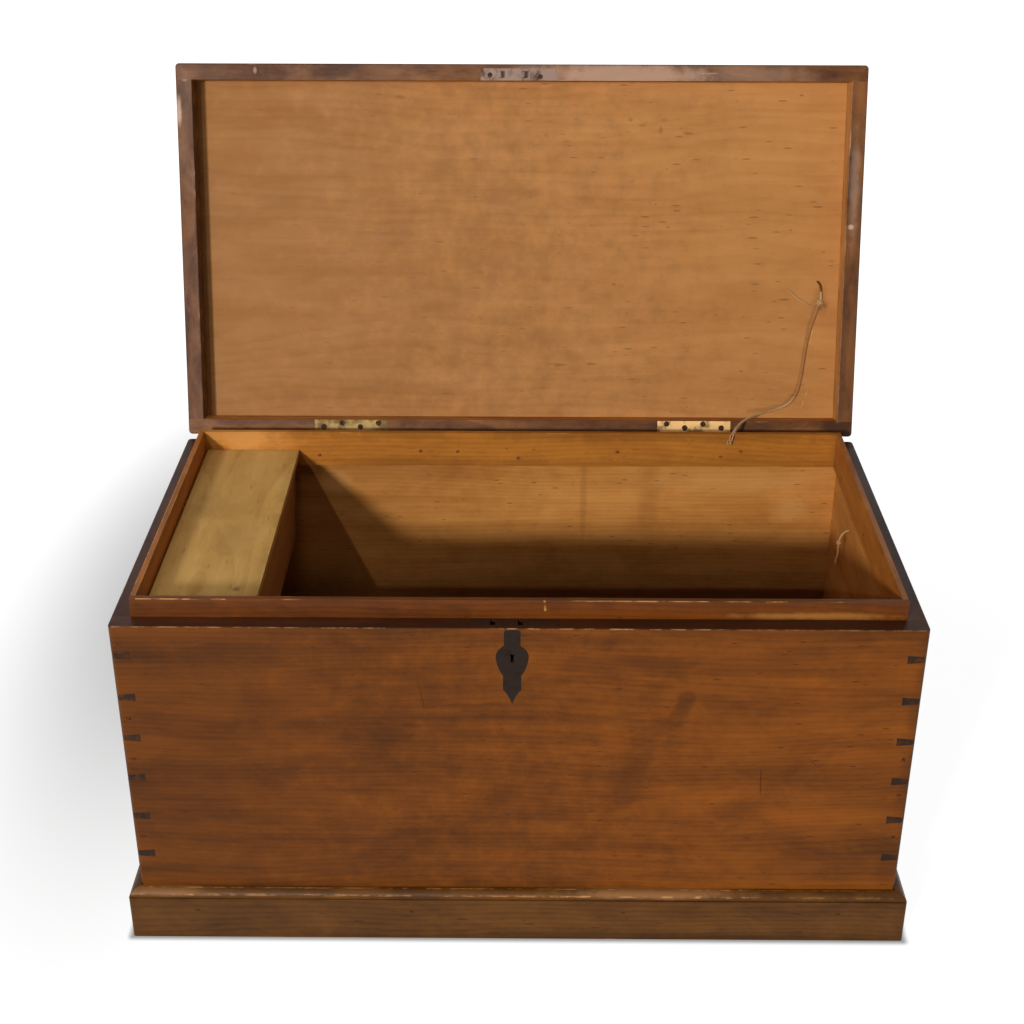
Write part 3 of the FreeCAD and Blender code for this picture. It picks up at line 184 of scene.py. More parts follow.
bounds_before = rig.bounds()
nodes = frame["nodes"]
print("bodies:", sorted(frame["bodies"]))
print("pieces of the chest:", len(nodes))

# %% [markdown]
# ## The camera
# The camera stands in front of the chest, a little above its open lid, and looks down into it. Its
# place and its turns are given as plain numbers. A camera that isn't turned looks straight down with
# its top to the back. This one leans a little about its line of sight, is raised until it looks only
# so many degrees down, and is turned to the left.

# %% Camera
CAMERA_PLACE = (0.0027, -1.5526, 1.3942)
LOOKING_DOWN = 27.508
TURNED_LEFT = 0.3765
LEANING = 0.0998
LENS_MM = 57.29


def new_object(name, data):
    piece = bpy.data.objects.new(name, data)
    bpy.context.scene.collection.objects.link(piece)
    return piece


def turned(degrees, axis):
    return Matrix.Rotation(math.radians(degrees), 4, axis)


camera = new_object("chest_camera", bpy.data.cameras.new("chest_camera"))
camera.data.lens = LENS_MM
camera.data.sensor_width = 36
looking = turned(TURNED_LEFT, "Z") @ turned(90 - LOOKING_DOWN, "X") @ turned(LEANING, "Z")
camera.matrix_world = Matrix.Translation(CAMERA_PLACE) @ looking
bpy.context.scene.camera = camera
bpy.context.scene.view_settings.view_transform = "Standard"
print("camera height:", CAMERA_PLACE[2], "m")

# %% [markdown]
# ## Building nodes from code
# Every finish below is a tree of shader nodes. A few small helpers keep the trees readable: `add`
# makes a node and fills its sockets, `calc` is the same for one sum, and `times` for the most common
# one. Effects that several finishes share become node groups with named sockets.

# %% Helpers for node trees
def fill(tree, node, values):
    """Each input named here: a socket is linked to it, and anything else becomes its value."""
    for key, value in values.items():
        if isinstance(value, bpy.types.NodeSocket):
            tree.links.new(value, node.inputs[key])
        else:
            node.inputs[key].default_value = value


def add(tree, kind, values=None, **settings):
    node = tree.nodes.new(kind)
    for name, value in settings.items():
        setattr(node, name, value)
    fill(tree, node, values or {})
    return node


def calc(tree, operation, *values, clamp=False):
    values = dict(enumerate(values))
    return add(tree, "ShaderNodeMath", values, operation=operation, use_clamp=clamp).outputs[0]


def times(tree, first, second):
    return calc(tree, "MULTIPLY", first, second)


def strongest(tree, first, second):
    return calc(tree, "MAXIMUM", first, second)


def vector_calc(tree, operation, *values):
    node = add(tree, "ShaderNodeVectorMath", dict(enumerate(values)), operation=operation)
    return node.outputs["Value" if operation in ("LENGTH", "DOT_PRODUCT", "DISTANCE") else "Vector"]


def stretched(tree, vector, scales):
    return vector_calc(tree, "MULTIPLY", vector, scales)


def noise(tree, vector, scale=1.0, detail=3.0, roughness=0.55, distortion=0.0):
    values = {"Vector": vector, "Scale": scale, "Detail": detail}
    values |= {"Roughness": roughness, "Distortion": distortion}
    return add(tree, "ShaderNodeTexNoise", values).outputs["Fac"]


def soft_step(tree, value, low, high, start=0.0, end=1.0):
    """It goes smoothly from start, where the value is low, to end, where it is high."""
    values = {"Value": value, "From Min": low, "From Max": high, "To Min": start, "To Max": end}
    return add(tree, "ShaderNodeMapRange", values, interpolation_type="SMOOTHSTEP").outputs["Result"]


def blend_colour(tree, factor, first, second):
    return add(tree, "ShaderNodeMix", {0: factor, 6: first, 7: second}, data_type="RGBA").outputs[2]


def bumpy(tree, height, strength, distance):
    values = {"Strength": strength, "Distance": distance, "Height": height}
    return add(tree, "ShaderNodeBump", values).outputs["Normal"]


def add_socket(tree, label, way, sample):
    """A socket of a group. The sample is its default value, or a word for its kind alone."""
    kind = sample
    if isinstance(sample, tuple):
        kind = "Color" if len(sample) == 4 else "Vector"
    elif not isinstance(sample, str):
        kind = "Int" if isinstance(sample, int) else "Float"
    socket = tree.interface.new_socket(name=label, in_out=way, socket_type="NodeSocket" + kind)
    if kind != sample:
        socket.default_value = sample


def new_group(name, inputs, outputs, kind="ShaderNodeTree"):
    """A group's tree, the sockets that are given to it, and the node that takes its result."""
    tree = bpy.data.node_groups.new(name, kind)
    for way, sockets in (("INPUT", inputs), ("OUTPUT", outputs)):
        for label, sample in sockets.items():
            add_socket(tree, label, way, sample)
    return tree, tree.nodes.new("NodeGroupInput").outputs, tree.nodes.new("NodeGroupOutput")


def use_group(tree, group, values):
    return add(tree, "ShaderNodeGroup", values, node_tree=group).outputs


def new_material(name):
    material = bpy.data.materials.new(name)
    material.use_nodes = True
    return material, material.node_tree, material.node_tree.nodes["Principled BSDF"]


def colour(red, green, blue):
    """A colour given as it looks on a screen, 0 to 255, turned into the linear light Blender uses."""
    return tuple((channel / 255) ** 2.2 for channel in (red, green, blue)) + (1,)


ORIGIN = (0, 0, 0)
MASK = {"Mask": "Float"}

# %% [markdown]
# ## Old softwood
# A plain-sawn board shows growth rings as long, wavering lines, because the saw passes beside the
# tree's centre. So the group measures the distance from a centre line (the pith) that runs along
# the board, adds a slow wobble, and repeats it at the width of a year's growth. Fine fibres and
# broad streaks are noise stretched along the grain, and ends of boards, where the fibres are cut
# across, soak up more dirt and are darker.

# %% The softwood group
def make_softwood():
    inputs = {"Vector": ORIGIN, "Normal": (0, 0, 1), "Seed": 0.0}
    inputs |= {"Pale": (0.5, 0.3, 0.1, 1), "Deep": (0.2, 0.1, 0.04, 1), "End Grain": (0.05, 0.03, 0.02, 1)}
    inputs |= {"Pith": (0, 0.06, 0), "Ring Width": 0.006, "Ring Strength": 0.4}
    inputs |= {"Streak Strength": 0.6, "Blotch Strength": 0.3}
    outputs = {"Color": "Color", "Grain": "Float", "Height": "Float"}
    tree, given, result = new_group("old_softwood", inputs, outputs)
    shift = add(tree, "ShaderNodeCombineXYZ", {"X": given["Seed"]}).outputs[0]
    place = vector_calc(tree, "ADD", given["Vector"], shift)
    streak = noise(tree, stretched(tree, place, (2.2, 34, 34)), detail=5, roughness=0.6, distortion=0.3)
    fibre = noise(tree, stretched(tree, place, (14, 640, 640)), detail=3, roughness=0.6)
    wobble = noise(tree, stretched(tree, place, (1.3, 5, 5)), detail=2)
    fine_wobble = noise(tree, stretched(tree, place, (5, 20, 20)), detail=2)
    across = stretched(tree, vector_calc(tree, "SUBTRACT", given["Vector"], given["Pith"]), (0, 1, 1))
    radius = vector_calc(tree, "LENGTH", across)
    radius = calc(tree, "MULTIPLY_ADD", wobble, 0.075, radius)
    radius = calc(tree, "MULTIPLY_ADD", fine_wobble, 0.006, radius)
    year = calc(tree, "FRACT", calc(tree, "DIVIDE", radius, given["Ring Width"]))
    late = times(tree, soft_step(tree, year, 0.35, 0.9), soft_step(tree, year, 1.0, 0.93))
    blotch = noise(tree, stretched(tree, place, (10, 21, 21)), detail=6, roughness=0.68, distortion=0.4)
    grain = times(tree, late, given["Ring Strength"])
    streaks = times(tree, soft_step(tree, streak, 0.3, 0.72), given["Streak Strength"])
    grain = calc(tree, "ADD", grain, streaks)
    grain = calc(tree, "MULTIPLY_ADD", calc(tree, "SUBTRACT", fibre, 0.5), 0.22, grain)
    blotched = times(tree, soft_step(tree, blotch, 0.35, 0.7), given["Blotch Strength"])
    grain = calc(tree, "ADD", grain, blotched, clamp=True)
    wood = blend_colour(tree, grain, given["Pale"], given["Deep"])
    along = add(tree, "ShaderNodeSeparateXYZ", {0: given["Normal"]}).outputs[0]
    ends = soft_step(tree, calc(tree, "ABSOLUTE", along), 0.6, 0.85)
    patchy = noise(tree, place, scale=95, detail=4, roughness=0.65)
    patchy = times(tree, soft_step(tree, patchy, 0.36, 0.56, 0.75, 1.0), ends)
    values = {"Color": blend_colour(tree, patchy, wood, given["End Grain"]), "Grain": grain}
    fill(tree, result, {**values, "Height": calc(tree, "MULTIPLY_ADD", late, 0.4, fibre)})
    return tree


softwood = make_softwood()
print("group:", softwood.name, "with", len(softwood.nodes), "nodes")

# %% [markdown]
# ## Worn edges
# Hands, blankets and years rub the sharp edges of a board first. On a box, a point of the surface is
# close to an edge where two of its three distances to the faces are small, and the second smallest
# of them is how far away that edge is. A noise breaks the line up, so the wear comes and goes.

# %% The worn edge group
def make_worn_edges():
    inputs = {"Vector": ORIGIN, "Half Size": (0.5, 0.01, 0.2), "Reach": 0.003, "Cover": 0.4, "Seed": 0.0}
    tree, given, result = new_group("worn_edges", inputs, MASK)
    outwards = vector_calc(tree, "ABSOLUTE", given["Vector"])
    gaps = vector_calc(tree, "SUBTRACT", given["Half Size"], outwards)
    x, y, z = add(tree, "ShaderNodeSeparateXYZ", {0: gaps}).outputs
    least = calc(tree, "MINIMUM", x, y)
    most = strongest(tree, x, y)
    second = strongest(tree, least, calc(tree, "MINIMUM", most, z))
    shift = add(tree, "ShaderNodeCombineXYZ", {"Y": given["Seed"]}).outputs[0]
    place = vector_calc(tree, "ADD", given["Vector"], shift)
    broken = noise(tree, place, scale=46, detail=4, roughness=0.7)
    reach = times(tree, given["Reach"], times(tree, broken, 2.0))
    worn = soft_step(tree, second, reach, times(tree, reach, 0.25))
    limit = calc(tree, "MULTIPLY_ADD", given["Cover"], -0.4, 0.7)
    patches = noise(tree, place, scale=11, detail=4, roughness=0.6)
    patches = soft_step(tree, patches, limit, calc(tree, "ADD", limit, 0.12))
    fill(tree, result, {"Mask": times(tree, worn, patches)})
    return tree


worn_edges = make_worn_edges()

# %% [markdown]
# ## Stains, strokes and specks
# Three more groups mark a surface. A stain is a soft, ragged oval round a place. A stroke is every
# point near a short line, so it makes a wide smear or a hair-thin scratch. Specks are the cells of a
# Voronoi pattern, of which only the few whose random number is low show, each as a dot or a short
# dash along the grain.

# %% Groups for marks
def make_stain():
    inputs = {"Vector": ORIGIN, "Centre": ORIGIN, "Spread": (0.05, 1, 0.02), "Raggedness": 0.6}
    tree, given, result = new_group("stain", inputs, MASK)
    away = vector_calc(tree, "SUBTRACT", given["Vector"], given["Centre"])
    away = vector_calc(tree, "DIVIDE", away, given["Spread"])
    ragged = noise(tree, given["Vector"], scale=42, detail=5, roughness=0.65)
    ragged = times(tree, calc(tree, "SUBTRACT", ragged, 0.5), given["Raggedness"])
    distance = calc(tree, "MULTIPLY_ADD", ragged, 2.0, vector_calc(tree, "LENGTH", away))
    fill(tree, result, {"Mask": soft_step(tree, distance, 1.05, 0.25)})
    return tree


def make_stroke():
    inputs = {"Vector": ORIGIN, "From": ORIGIN, "To": (0, 0, 0.1)}
    inputs |= {"Width": 0.0009, "Wander": 0.003, "Breaks": 0.5}
    tree, given, result = new_group("stroke", inputs, MASK)
    along = vector_calc(tree, "SUBTRACT", given["To"], given["From"])
    away = vector_calc(tree, "SUBTRACT", given["Vector"], given["From"])
    squared = vector_calc(tree, "DOT_PRODUCT", along, along)
    share = calc(tree, "DIVIDE", vector_calc(tree, "DOT_PRODUCT", away, along), squared, clamp=True)
    scale = add(tree, "ShaderNodeVectorMath", {0: along, "Scale": share}, operation="SCALE").outputs[0]
    bend = calc(tree, "SUBTRACT", noise(tree, given["Vector"], scale=30, detail=4), 0.5)
    distance = vector_calc(tree, "DISTANCE", away, scale)
    distance = calc(tree, "ABSOLUTE", calc(tree, "MULTIPLY_ADD", bend, given["Wander"], distance))
    line = soft_step(tree, distance, given["Width"], times(tree, given["Width"], 0.3))
    whole = noise(tree, stretched(tree, given["Vector"], (60, 150, 150)), detail=4, roughness=0.65)
    whole = soft_step(tree, whole, 0.42, 0.6)
    broken = times(tree, calc(tree, "SUBTRACT", 1.0, whole), given["Breaks"])
    fill(tree, result, {"Mask": times(tree, line, calc(tree, "SUBTRACT", 1.0, broken))})
    return tree


def make_specks():
    inputs = {"Vector": ORIGIN, "Size": 0.0012, "Spacing": 0.03, "Stretch": 2.0, "Share": 0.3, "Seed": 0.0}
    tree, given, result = new_group("specks", inputs, MASK)
    shift = add(tree, "ShaderNodeCombineXYZ", {"Z": given["Seed"]}).outputs[0]
    place = vector_calc(tree, "ADD", given["Vector"], shift)
    squeeze = {"X": calc(tree, "DIVIDE", 1.0, given["Stretch"]), "Y": 1.0, "Z": 1.0}
    place = stretched(tree, place, add(tree, "ShaderNodeCombineXYZ", squeeze).outputs[0])
    values = {"Vector": place, "Scale": calc(tree, "DIVIDE", 1.0, given["Spacing"])}
    cells = add(tree, "ShaderNodeTexVoronoi", values).outputs
    distance = times(tree, cells["Distance"], given["Spacing"])
    chance = add(tree, "ShaderNodeSeparateColor", {0: cells["Color"]}).outputs
    size = times(tree, given["Size"], calc(tree, "ADD", chance[1], 0.35))
    dot = soft_step(tree, distance, size, times(tree, size, 0.5))
    shown = calc(tree, "LESS_THAN", chance[0], given["Share"])
    fill(tree, result, {"Mask": times(tree, dot, shown)})
    return tree


stain = make_stain()
stroke = make_stroke()
specks = make_specks()
print("groups for marks:", stain.name, stroke.name, specks.name)

# %% [markdown]
# ## String
# The stay cord is soft three-ply string. Its line is one smooth spline, drawn by a few chosen points,
# which starts at the bent nail and sags over the lid's back rim. Each ply is a tube that winds round
# that line, and near the cut end the plies come apart. The knot and its stray end are tubes of their
# own. A second, short end of string, with a knot too, hangs on the right end board.

# %% String
STRING_STEP = 0.0011
PLY_DRIFT = 0.0005
HAIR_EVERY = 0.006
HAIR_RADIUS = 0.00011
HAIR_SPAN = 6
HAIR_STEPS = (0, 0.35, 0.7, 1.0)
HAIR_LIFT = 0.0022
HAIR_ROOT = 0.7
PARTED_UNTWIST = 0.15
BLUNT_END = 0.35
STEPS_TO_FULL_WIDTH = 3
KNOT_STEPS = 45
KNOT_STEPS_IN_A_TURN = 18
KNOT_WIDTH = 1.95
KNOT_LEAN = 0.35


def line_of(points):
    """Places along the smooth spline that has these points as its control points."""
    data = bpy.data.curves.new("line", "CURVE")
    data.dimensions = "3D"
    data.resolution_u = 24
    spline = data.splines.new("NURBS")
    spline.points.add(len(points) - 1)
    for knot, point in zip(spline.points, points):
        knot.co = (*point, 1)
    spline.order_u = 3
    spline.use_endpoint_u = True
    holder = new_object("line", data)
    bpy.context.view_layer.update()
    places = [vertex.co.copy() for vertex in bpy.data.meshes.new_from_object(holder).vertices]
    bpy.data.objects.remove(holder)
    return places


def length_of(line):
    return sum((second - first).length for first, second in zip(line, line[1:]))


def evenly(places):
    """The same line, walked in equal steps."""
    reach = [0.0]
    for first, second in zip(places, places[1:]):
        reach.append(reach[-1] + (second - first).length)
    count = round(reach[-1] / STRING_STEP)
    walked = []
    index = 0
    for number in range(count + 1):
        target = reach[-1] * number / count
        while index < len(places) - 2 and reach[index + 1] < target:
            index += 1
        span = reach[index + 1] - reach[index]
        walked.append(places[index].lerp(places[index + 1], (target - reach[index]) / span))
    return walked


def frames_along(line):
    """At each place two directions square to the line, carried along it without twisting."""
    side = None
    for index, place in enumerate(line):
        ahead_of = (line[min(index + 1, len(line) - 1)] - line[max(index - 1, 0)]).normalized()
        if side is None:
            side = ahead_of.orthogonal().normalized()
        side = (side - ahead_of * side.dot(ahead_of)).normalized()
        yield place, side, ahead_of.cross(side)


def spoke(side, other, turn):
    """The direction that is turned this far round a line, from one side of it."""
    return side * math.cos(turn) + other * math.sin(turn)


def add_tube(mesh, line, radius, sides=6):
    """A round tube with blunt, closed ends along the line, added to a bmesh."""
    rings = []
    for index, (place, side, other) in enumerate(frames_along(line)):
        to_end = min(index, len(line) - 1 - index) / STEPS_TO_FULL_WIDTH
        thick = radius * min(1, BLUNT_END + (1 - BLUNT_END) * to_end)
        turns = [math.tau * number / sides for number in range(sides)]
        rings.append([mesh.verts.new(place + spoke(side, other, turn) * thick) for turn in turns])
    for low, high in zip(rings, rings[1:]):
        for number in range(sides):
            after = (number + 1) % sides
            mesh.faces.new((low[number], low[after], high[after], high[number]))
    mesh.faces.new(rings[0][::-1])
    mesh.faces.new(rings[-1])


def wind(mesh, line, chance, radius, plies, pitch, loosen, spread):
    """Twisted plies round a line; loosen is the share of the length where they start to part."""
    ply = radius / (1 + 1 / math.sin(math.pi / plies))
    offset = radius - ply
    frames = list(frames_along(line))
    length = length_of(line)
    for number in range(plies):
        drift = Vector([chance.uniform(-1, 1) for _ in range(3)])
        path = []
        for index, (place, side, other) in enumerate(frames):
            share = index / (len(frames) - 1)
            open_up = max(0, (share - loosen) / (1 - loosen)) ** 2
            turn = math.tau * (number / plies + share * length / pitch * (1 - PARTED_UNTWIST * open_up))
            away = offset * (1 + spread * open_up)
            path.append(place + spoke(side, other, turn) * away)
            path[-1] += drift * PLY_DRIFT * spread * open_up
        add_tube(mesh, path, ply)
    for _ in range(int(length / HAIR_EVERY)):
        start = chance.randrange(len(frames) - HAIR_SPAN - 2)
        place, side, other = frames[start]
        out = spoke(side, other, chance.uniform(0, math.tau))
        ahead_of = frames[start + HAIR_SPAN][0] - place
        root = place + out * (radius * HAIR_ROOT)
        hair = [root + (ahead_of * step + out * step * step * HAIR_LIFT) for step in HAIR_STEPS]
        add_tube(mesh, hair, HAIR_RADIUS, sides=3)


def finish_mesh(name, mesh, smooth=True):
    bmesh.ops.recalc_face_normals(mesh, faces=mesh.faces)
    data = bpy.data.meshes.new(name)
    mesh.to_mesh(data)
    mesh.free()
    for face in data.polygons:
        face.use_smooth = smooth
    return new_object(name, data)


STAY_ROUTE = (
    (0.4145, 0.5870, 0.6256),
    (0.4164, 0.5854, 0.6140),
    (0.4090, 0.5802, 0.5955),
    (0.4005, 0.5728, 0.5685),
    (0.3966, 0.5662, 0.5465),
    (0.3942, 0.5607, 0.5250),
    (0.3912, 0.5543, 0.5030),
    (0.3855, 0.5483, 0.4850),
    (0.3730, 0.5430, 0.4725),
    (0.3540, 0.5386, 0.4680),
    (0.3350, 0.5292, 0.4675),
    (0.3210, 0.5140, 0.4690),
    (0.3090, 0.4970, 0.4710),
    (0.2980, 0.4805, 0.4700),
    (0.2905, 0.4665, 0.4635),
    (0.2840, 0.4610, 0.4495),
)
WALL_ROUTE = (
    (0.4375, 0.3550, 0.3760),
    (0.4300, 0.3550, 0.3730),
    (0.4245, 0.3520, 0.3645),
    (0.4235, 0.3485, 0.3530),
    (0.4230, 0.3465, 0.3410),
    (0.4200, 0.3450, 0.3290),
)
STRAY_ROUTE = (
    (0.4135, 0.5846, 0.6120),
    (0.4040, 0.5836, 0.6050),
    (0.3960, 0.5840, 0.6085),
    (0.3860, 0.5850, 0.6140),
    (0.3755, 0.5870, 0.6220),
    (0.3680, 0.5885, 0.6290),
)
STAY_RADIUS = 0.0017
WALL_RADIUS = 0.00125
STAY_KNOT = {"at": 14, "size": 0.0055, "strand": 0.00105}
WALL_KNOT = {"at": 21, "size": 0.0045, "strand": 0.0009}
STRAY_RADIUS = 0.0009
FRAYED_HAIRS = 18
FRAY_RADIUS = 0.0003
FRAY_LENGTH = 0.0045
FRAY_DROP = Vector((0, 0, -0.002))


def tie_knot(mesh, line, radius, at, size, strand):
    """Two and a half turns round a cord, a little uneven, as a pulled knot has."""
    centre = line[at]
    along = (line[at + 3] - line[at - 3]).normalized()
    side = along.orthogonal().normalized()
    other = along.cross(side)
    places = []
    for step in range(KNOT_STEPS + 1):
        turn = math.tau * step / KNOT_STEPS_IN_A_TURN
        lean = KNOT_LEAN * math.sin(turn * 0.5 + 0.6)
        climb = (step / KNOT_STEPS - 0.5) * size
        out = spoke(side, other, turn) * (radius * KNOT_WIDTH)
        places.append(centre + along * (climb + lean * radius) + out)
    add_tube(mesh, places, strand)


def start_cord(name, route, seed, radius, **winding):
    """The string wound along its route, its smooth line, its even steps, and the dice it was made with."""
    chance = random.Random(seed)
    smooth_line = line_of(route)
    line = evenly(smooth_line)
    mesh = bmesh.new()
    wind(mesh, line, chance, radius, **winding)
    return finish_mesh(name, mesh), smooth_line, line, chance


def make_stay_cord():
    winding = {"plies": 3, "pitch": 0.010, "loosen": 0.80, "spread": 2.2}
    cord, smooth_line, line, chance = start_cord("stay_string", STAY_ROUTE, 11, STAY_RADIUS, **winding)
    mesh = bmesh.new()
    knot_at = line[STAY_KNOT["at"]]
    tie_knot(mesh, line, STAY_RADIUS, **STAY_KNOT)
    for _ in range(FRAYED_HAIRS):
        fray = Vector((chance.uniform(-0.4, 1), chance.uniform(-0.6, 0), chance.uniform(-1, 0.6)))
        fray = fray.normalized() * FRAY_LENGTH
        fray_line = [knot_at, knot_at + fray, knot_at + fray * 2 + FRAY_DROP]
        add_tube(mesh, fray_line, FRAY_RADIUS, sides=4)
    stray = evenly(line_of(STRAY_ROUTE))
    wind(mesh, stray, chance, STRAY_RADIUS, plies=2, pitch=0.007, loosen=0.7, spread=1.6)
    return cord, finish_mesh("stay_string_knot", mesh), smooth_line, length_of(line)


def make_wall_cord():
    winding = {"plies": 3, "pitch": 0.009, "loosen": 0.6, "spread": 0.7}
    cord, smooth_line, line, _ = start_cord("wall_string", WALL_ROUTE, 5, WALL_RADIUS, **winding)
    mesh = bmesh.new()
    tie_knot(mesh, line, WALL_RADIUS, **WALL_KNOT)
    return cord, finish_mesh("wall_string_knot", mesh), smooth_line, length_of(line)


def make_string_material():
    """Dusty string, brown where it lies along the panel, and pale at its knot and its frayed end."""
    material, tree, shader = new_material("old_string")
    place = add(tree, "ShaderNodeTexCoord").outputs["Object"]
    soiled = soft_step(tree, noise(tree, place, scale=34, detail=3), 0.35, 0.68, 0.0, 0.5)
    height = add(tree, "ShaderNodeSeparateXYZ", {0: place}).outputs["Z"]
    soiled = strongest(tree, soiled, soft_step(tree, height, 0.474, 0.490))
    soiled = calc(tree, "MINIMUM", soiled, soft_step(tree, height, 0.612, 0.604))
    fibres = noise(tree, place, scale=2600, detail=2)
    base = blend_colour(tree, soiled, colour(214, 172, 112), colour(182, 116, 52))
    dusty = blend_colour(tree, times(tree, fibres, 0.5), base, colour(98, 60, 30))
    values = {"Base Color": dusty, "Roughness": 0.85, "Sheen Weight": 0.25}
    fill(tree, shader, {**values, "Normal": bumpy(tree, fibres, 0.4, 0.0003)})
    return material


string_material = make_string_material()
CORDS = (
    (*make_stay_cord(), STAY_ROUTE, STAY_RADIUS, "stay_cord", "lid"),
    (*make_wall_cord(), WALL_ROUTE, WALL_RADIUS, "wall_cord", "carcass"),
)
for string, knot, line, length, route, radius, node_name, body in CORDS:
    for piece in (string, knot):
        piece.data.materials.append(string_material)
        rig.slot(piece, "cord")
        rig.ride(piece, body)
    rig.replaces(string, node_name)
    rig.cord(
        string,
        exit=route[0],
        length=length,
        diameter=2 * radius,
        far_end="bare",
        stiffness="limp",
        lay="hanging",
        path=line,
        with_pieces=[knot],
    )
    print(node_name, "-", round(length, 3), "m")
stay_string = CORDS[0][0]
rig.squash(stay_string, "lid_hinge", axis=(0, 0.2672, 0.9636), anchor=STAY_ROUTE[0], keep=0.79)

# %% [markdown]
# ## Where each board lies
# Grain must run along each board, whichever way the board lies. So every board gets a frame of its
# own: X along the grain, and its middle as the centre. The end boards are turned a quarter, and the
# lid's boards are turned with the open lid. The material reads its place and its direction in that
# frame.

# %% Board frames
LID_ANGLE = -math.radians(105.5)
QUARTER = Matrix.Rotation(math.pi / 2, 3, "Z")
OPEN_LID = Matrix.Rotation(LID_ANGLE, 3, "X")
TURNS = {
    "long": Matrix.Identity(3),
    "deep": QUARTER,
    "lid_long": OPEN_LID,
    "lid_deep": OPEN_LID @ QUARTER,
}


def board_frame(node_name, way):
    """The board's middle, its turn, and half of its size in its own directions."""
    turn = TURNS[way]
    back = turn.transposed()
    corners = [back @ vertex.co for vertex in nodes[node_name].data.vertices]
    low, high = (Vector([choose(axis) for axis in zip(*corners)]) for choose in (min, max))
    return turn @ ((low + high) / 2), turn.to_euler("XYZ"), (high - low) / 2


def in_board(tree, node_name, way):
    """Sockets for the place and the direction of the surface, both in the board's own frame."""
    middle, turn, half = board_frame(node_name, way)
    surface = add(tree, "ShaderNodeTexCoord").outputs
    values = {"Vector": surface["Object"], "Location": middle, "Rotation": turn}
    place = add(tree, "ShaderNodeMapping", values, vector_type="TEXTURE").outputs[0]
    values = {"Vector": surface["Normal"], "Rotation": turn}
    facing = add(tree, "ShaderNodeMapping", values, vector_type="TEXTURE").outputs[0]
    return surface["Object"], place, facing, half


# %% [markdown]
# ## Colours of the finishes
# Outside, the chest was stained and shellacked, and the shellac has gone reddish brown and thin. The
# inside was never finished, and has only turned golden. The sawn edges where the lid meets the box
# are dark and satiny from handling. Each finish has the pale and the deep colour of its grain, the
# colour of its end grain, the lighter colour of worn wood, and its roughness.

# %% Finishes
def finish_of(pale, deep, end, wear, roughness):
    return {
        "pale": colour(*pale),
        "deep": colour(*deep),
        "end": colour(*end),
        "wear": colour(*wear),
        "roughness": roughness,
    }


OUTSIDE = finish_of((137, 76, 24), (74, 42, 16), (48, 34, 23), (186, 120, 56), 0.42)
INSIDE = finish_of((200, 136, 70), (152, 92, 38), (104, 70, 36), (204, 150, 90), 0.62)
LEDGE = finish_of((84, 46, 26), (48, 28, 17), (56, 38, 28), (190, 150, 110), 0.36)
RIM = finish_of((138, 88, 48), (76, 44, 24), (74, 48, 34), (204, 164, 136), 0.42)
PLINTH = finish_of((108, 68, 27), (66, 40, 16), (48, 34, 20), (188, 132, 82), 0.4)
FRONT_LIP = finish_of((120, 64, 16), (72, 36, 9), (60, 36, 20), (206, 146, 80), 0.38)
SIDE_LIP = finish_of((188, 116, 50), (132, 74, 28), (80, 50, 26), (206, 140, 66), 0.45)
BACK_LIP = finish_of((186, 118, 44), (140, 78, 28), (104, 66, 32), (214, 150, 78), 0.5)
PANEL = finish_of((190, 130, 72), (152, 96, 44), (110, 76, 40), (206, 150, 90), 0.6)
TILL = finish_of((206, 162, 94), (162, 118, 58), (110, 82, 44), (220, 182, 118), 0.6)
# painted shade: the till's side board wears a darker copy of the bare inside, as it stands in shadow
SHADED_TILL_SIDE = finish_of((170, 114, 56), (122, 74, 32), (96, 66, 34), (206, 160, 96), 0.65)
FLOOR_BOARD = finish_of((150, 110, 64), (100, 68, 38), (84, 60, 38), (170, 132, 86), 0.75)
GRIME = colour(30, 18, 10)

# %% [markdown]
# ## From a finish to a board
# One board wears up to three finishes, chosen by which way the surface faces: the front board is
# shellacked outside, bare inside and satiny on its sawn top. Then come specks, grime in the corners,
# the marks of its life, and worn edges. A mark is a kind, two places or a place and a spread, its
# strength, and, for a stroke, its width. Places are in metres, in the chest's own frame. Rubs and
# gleams turn the wood towards its lighter worn colour: most rubs are wear and a few are painted
# light, and the gleams along the edges of the front, the lips and the ovolo are painted highlights.
# A shade is painted shade, and it and every other kind darkens the wood.

# %% A board's material
LIGHT_MARKS = ("rub", "gleam")
RAGGEDNESS = {"stain": 0.6, "rub": 0.6, "shade": 0.12}
BREAKS = {"smear": 0.25, "scratch": 0.5, "gleam": 1.0}
PITH = (0, 0.05, -0.3)
RING_WIDTH = 0.007
SPECK_SIZE = 0.0012
SPECK_SHARE = 0.8
SPECK_STRENGTH = 0.55
GRIME_REACH = 0.018
GRIME_COVER = 0.8
GRIME_DEPTH = 0.82
WEAR_DEPTH = 0.7


def mark_mask(tree, place, mark):
    kind, first, second, strength, *width = mark
    if kind in RAGGEDNESS:
        values = {"Vector": place, "Centre": first, "Spread": second}
        mask = use_group(tree, stain, {**values, "Raggedness": RAGGEDNESS[kind]})[0]
    else:
        values = {"Vector": place, "From": first, "To": second, "Width": width[0]}
        values |= {"Wander": 1.4 * width[0], "Breaks": BREAKS[kind]}
        mask = use_group(tree, stroke, values)[0]
    return times(tree, mask, strength)


def finishes_by_direction(tree, facing, faces):
    """The first finish, with each later one where the surface faces its direction."""
    chosen = dict(faces[0][0])
    for finish, direction in faces[1:]:
        towards = soft_step(tree, vector_calc(tree, "DOT_PRODUCT", facing, direction), 0.55, 0.8)
        for key in ("pale", "deep", "end", "wear"):
            chosen[key] = blend_colour(tree, towards, chosen[key], finish[key])
        change = calc(tree, "SUBTRACT", finish["roughness"], chosen["roughness"])
        chosen["roughness"] = calc(tree, "MULTIPLY_ADD", towards, change, chosen["roughness"])
    return chosen


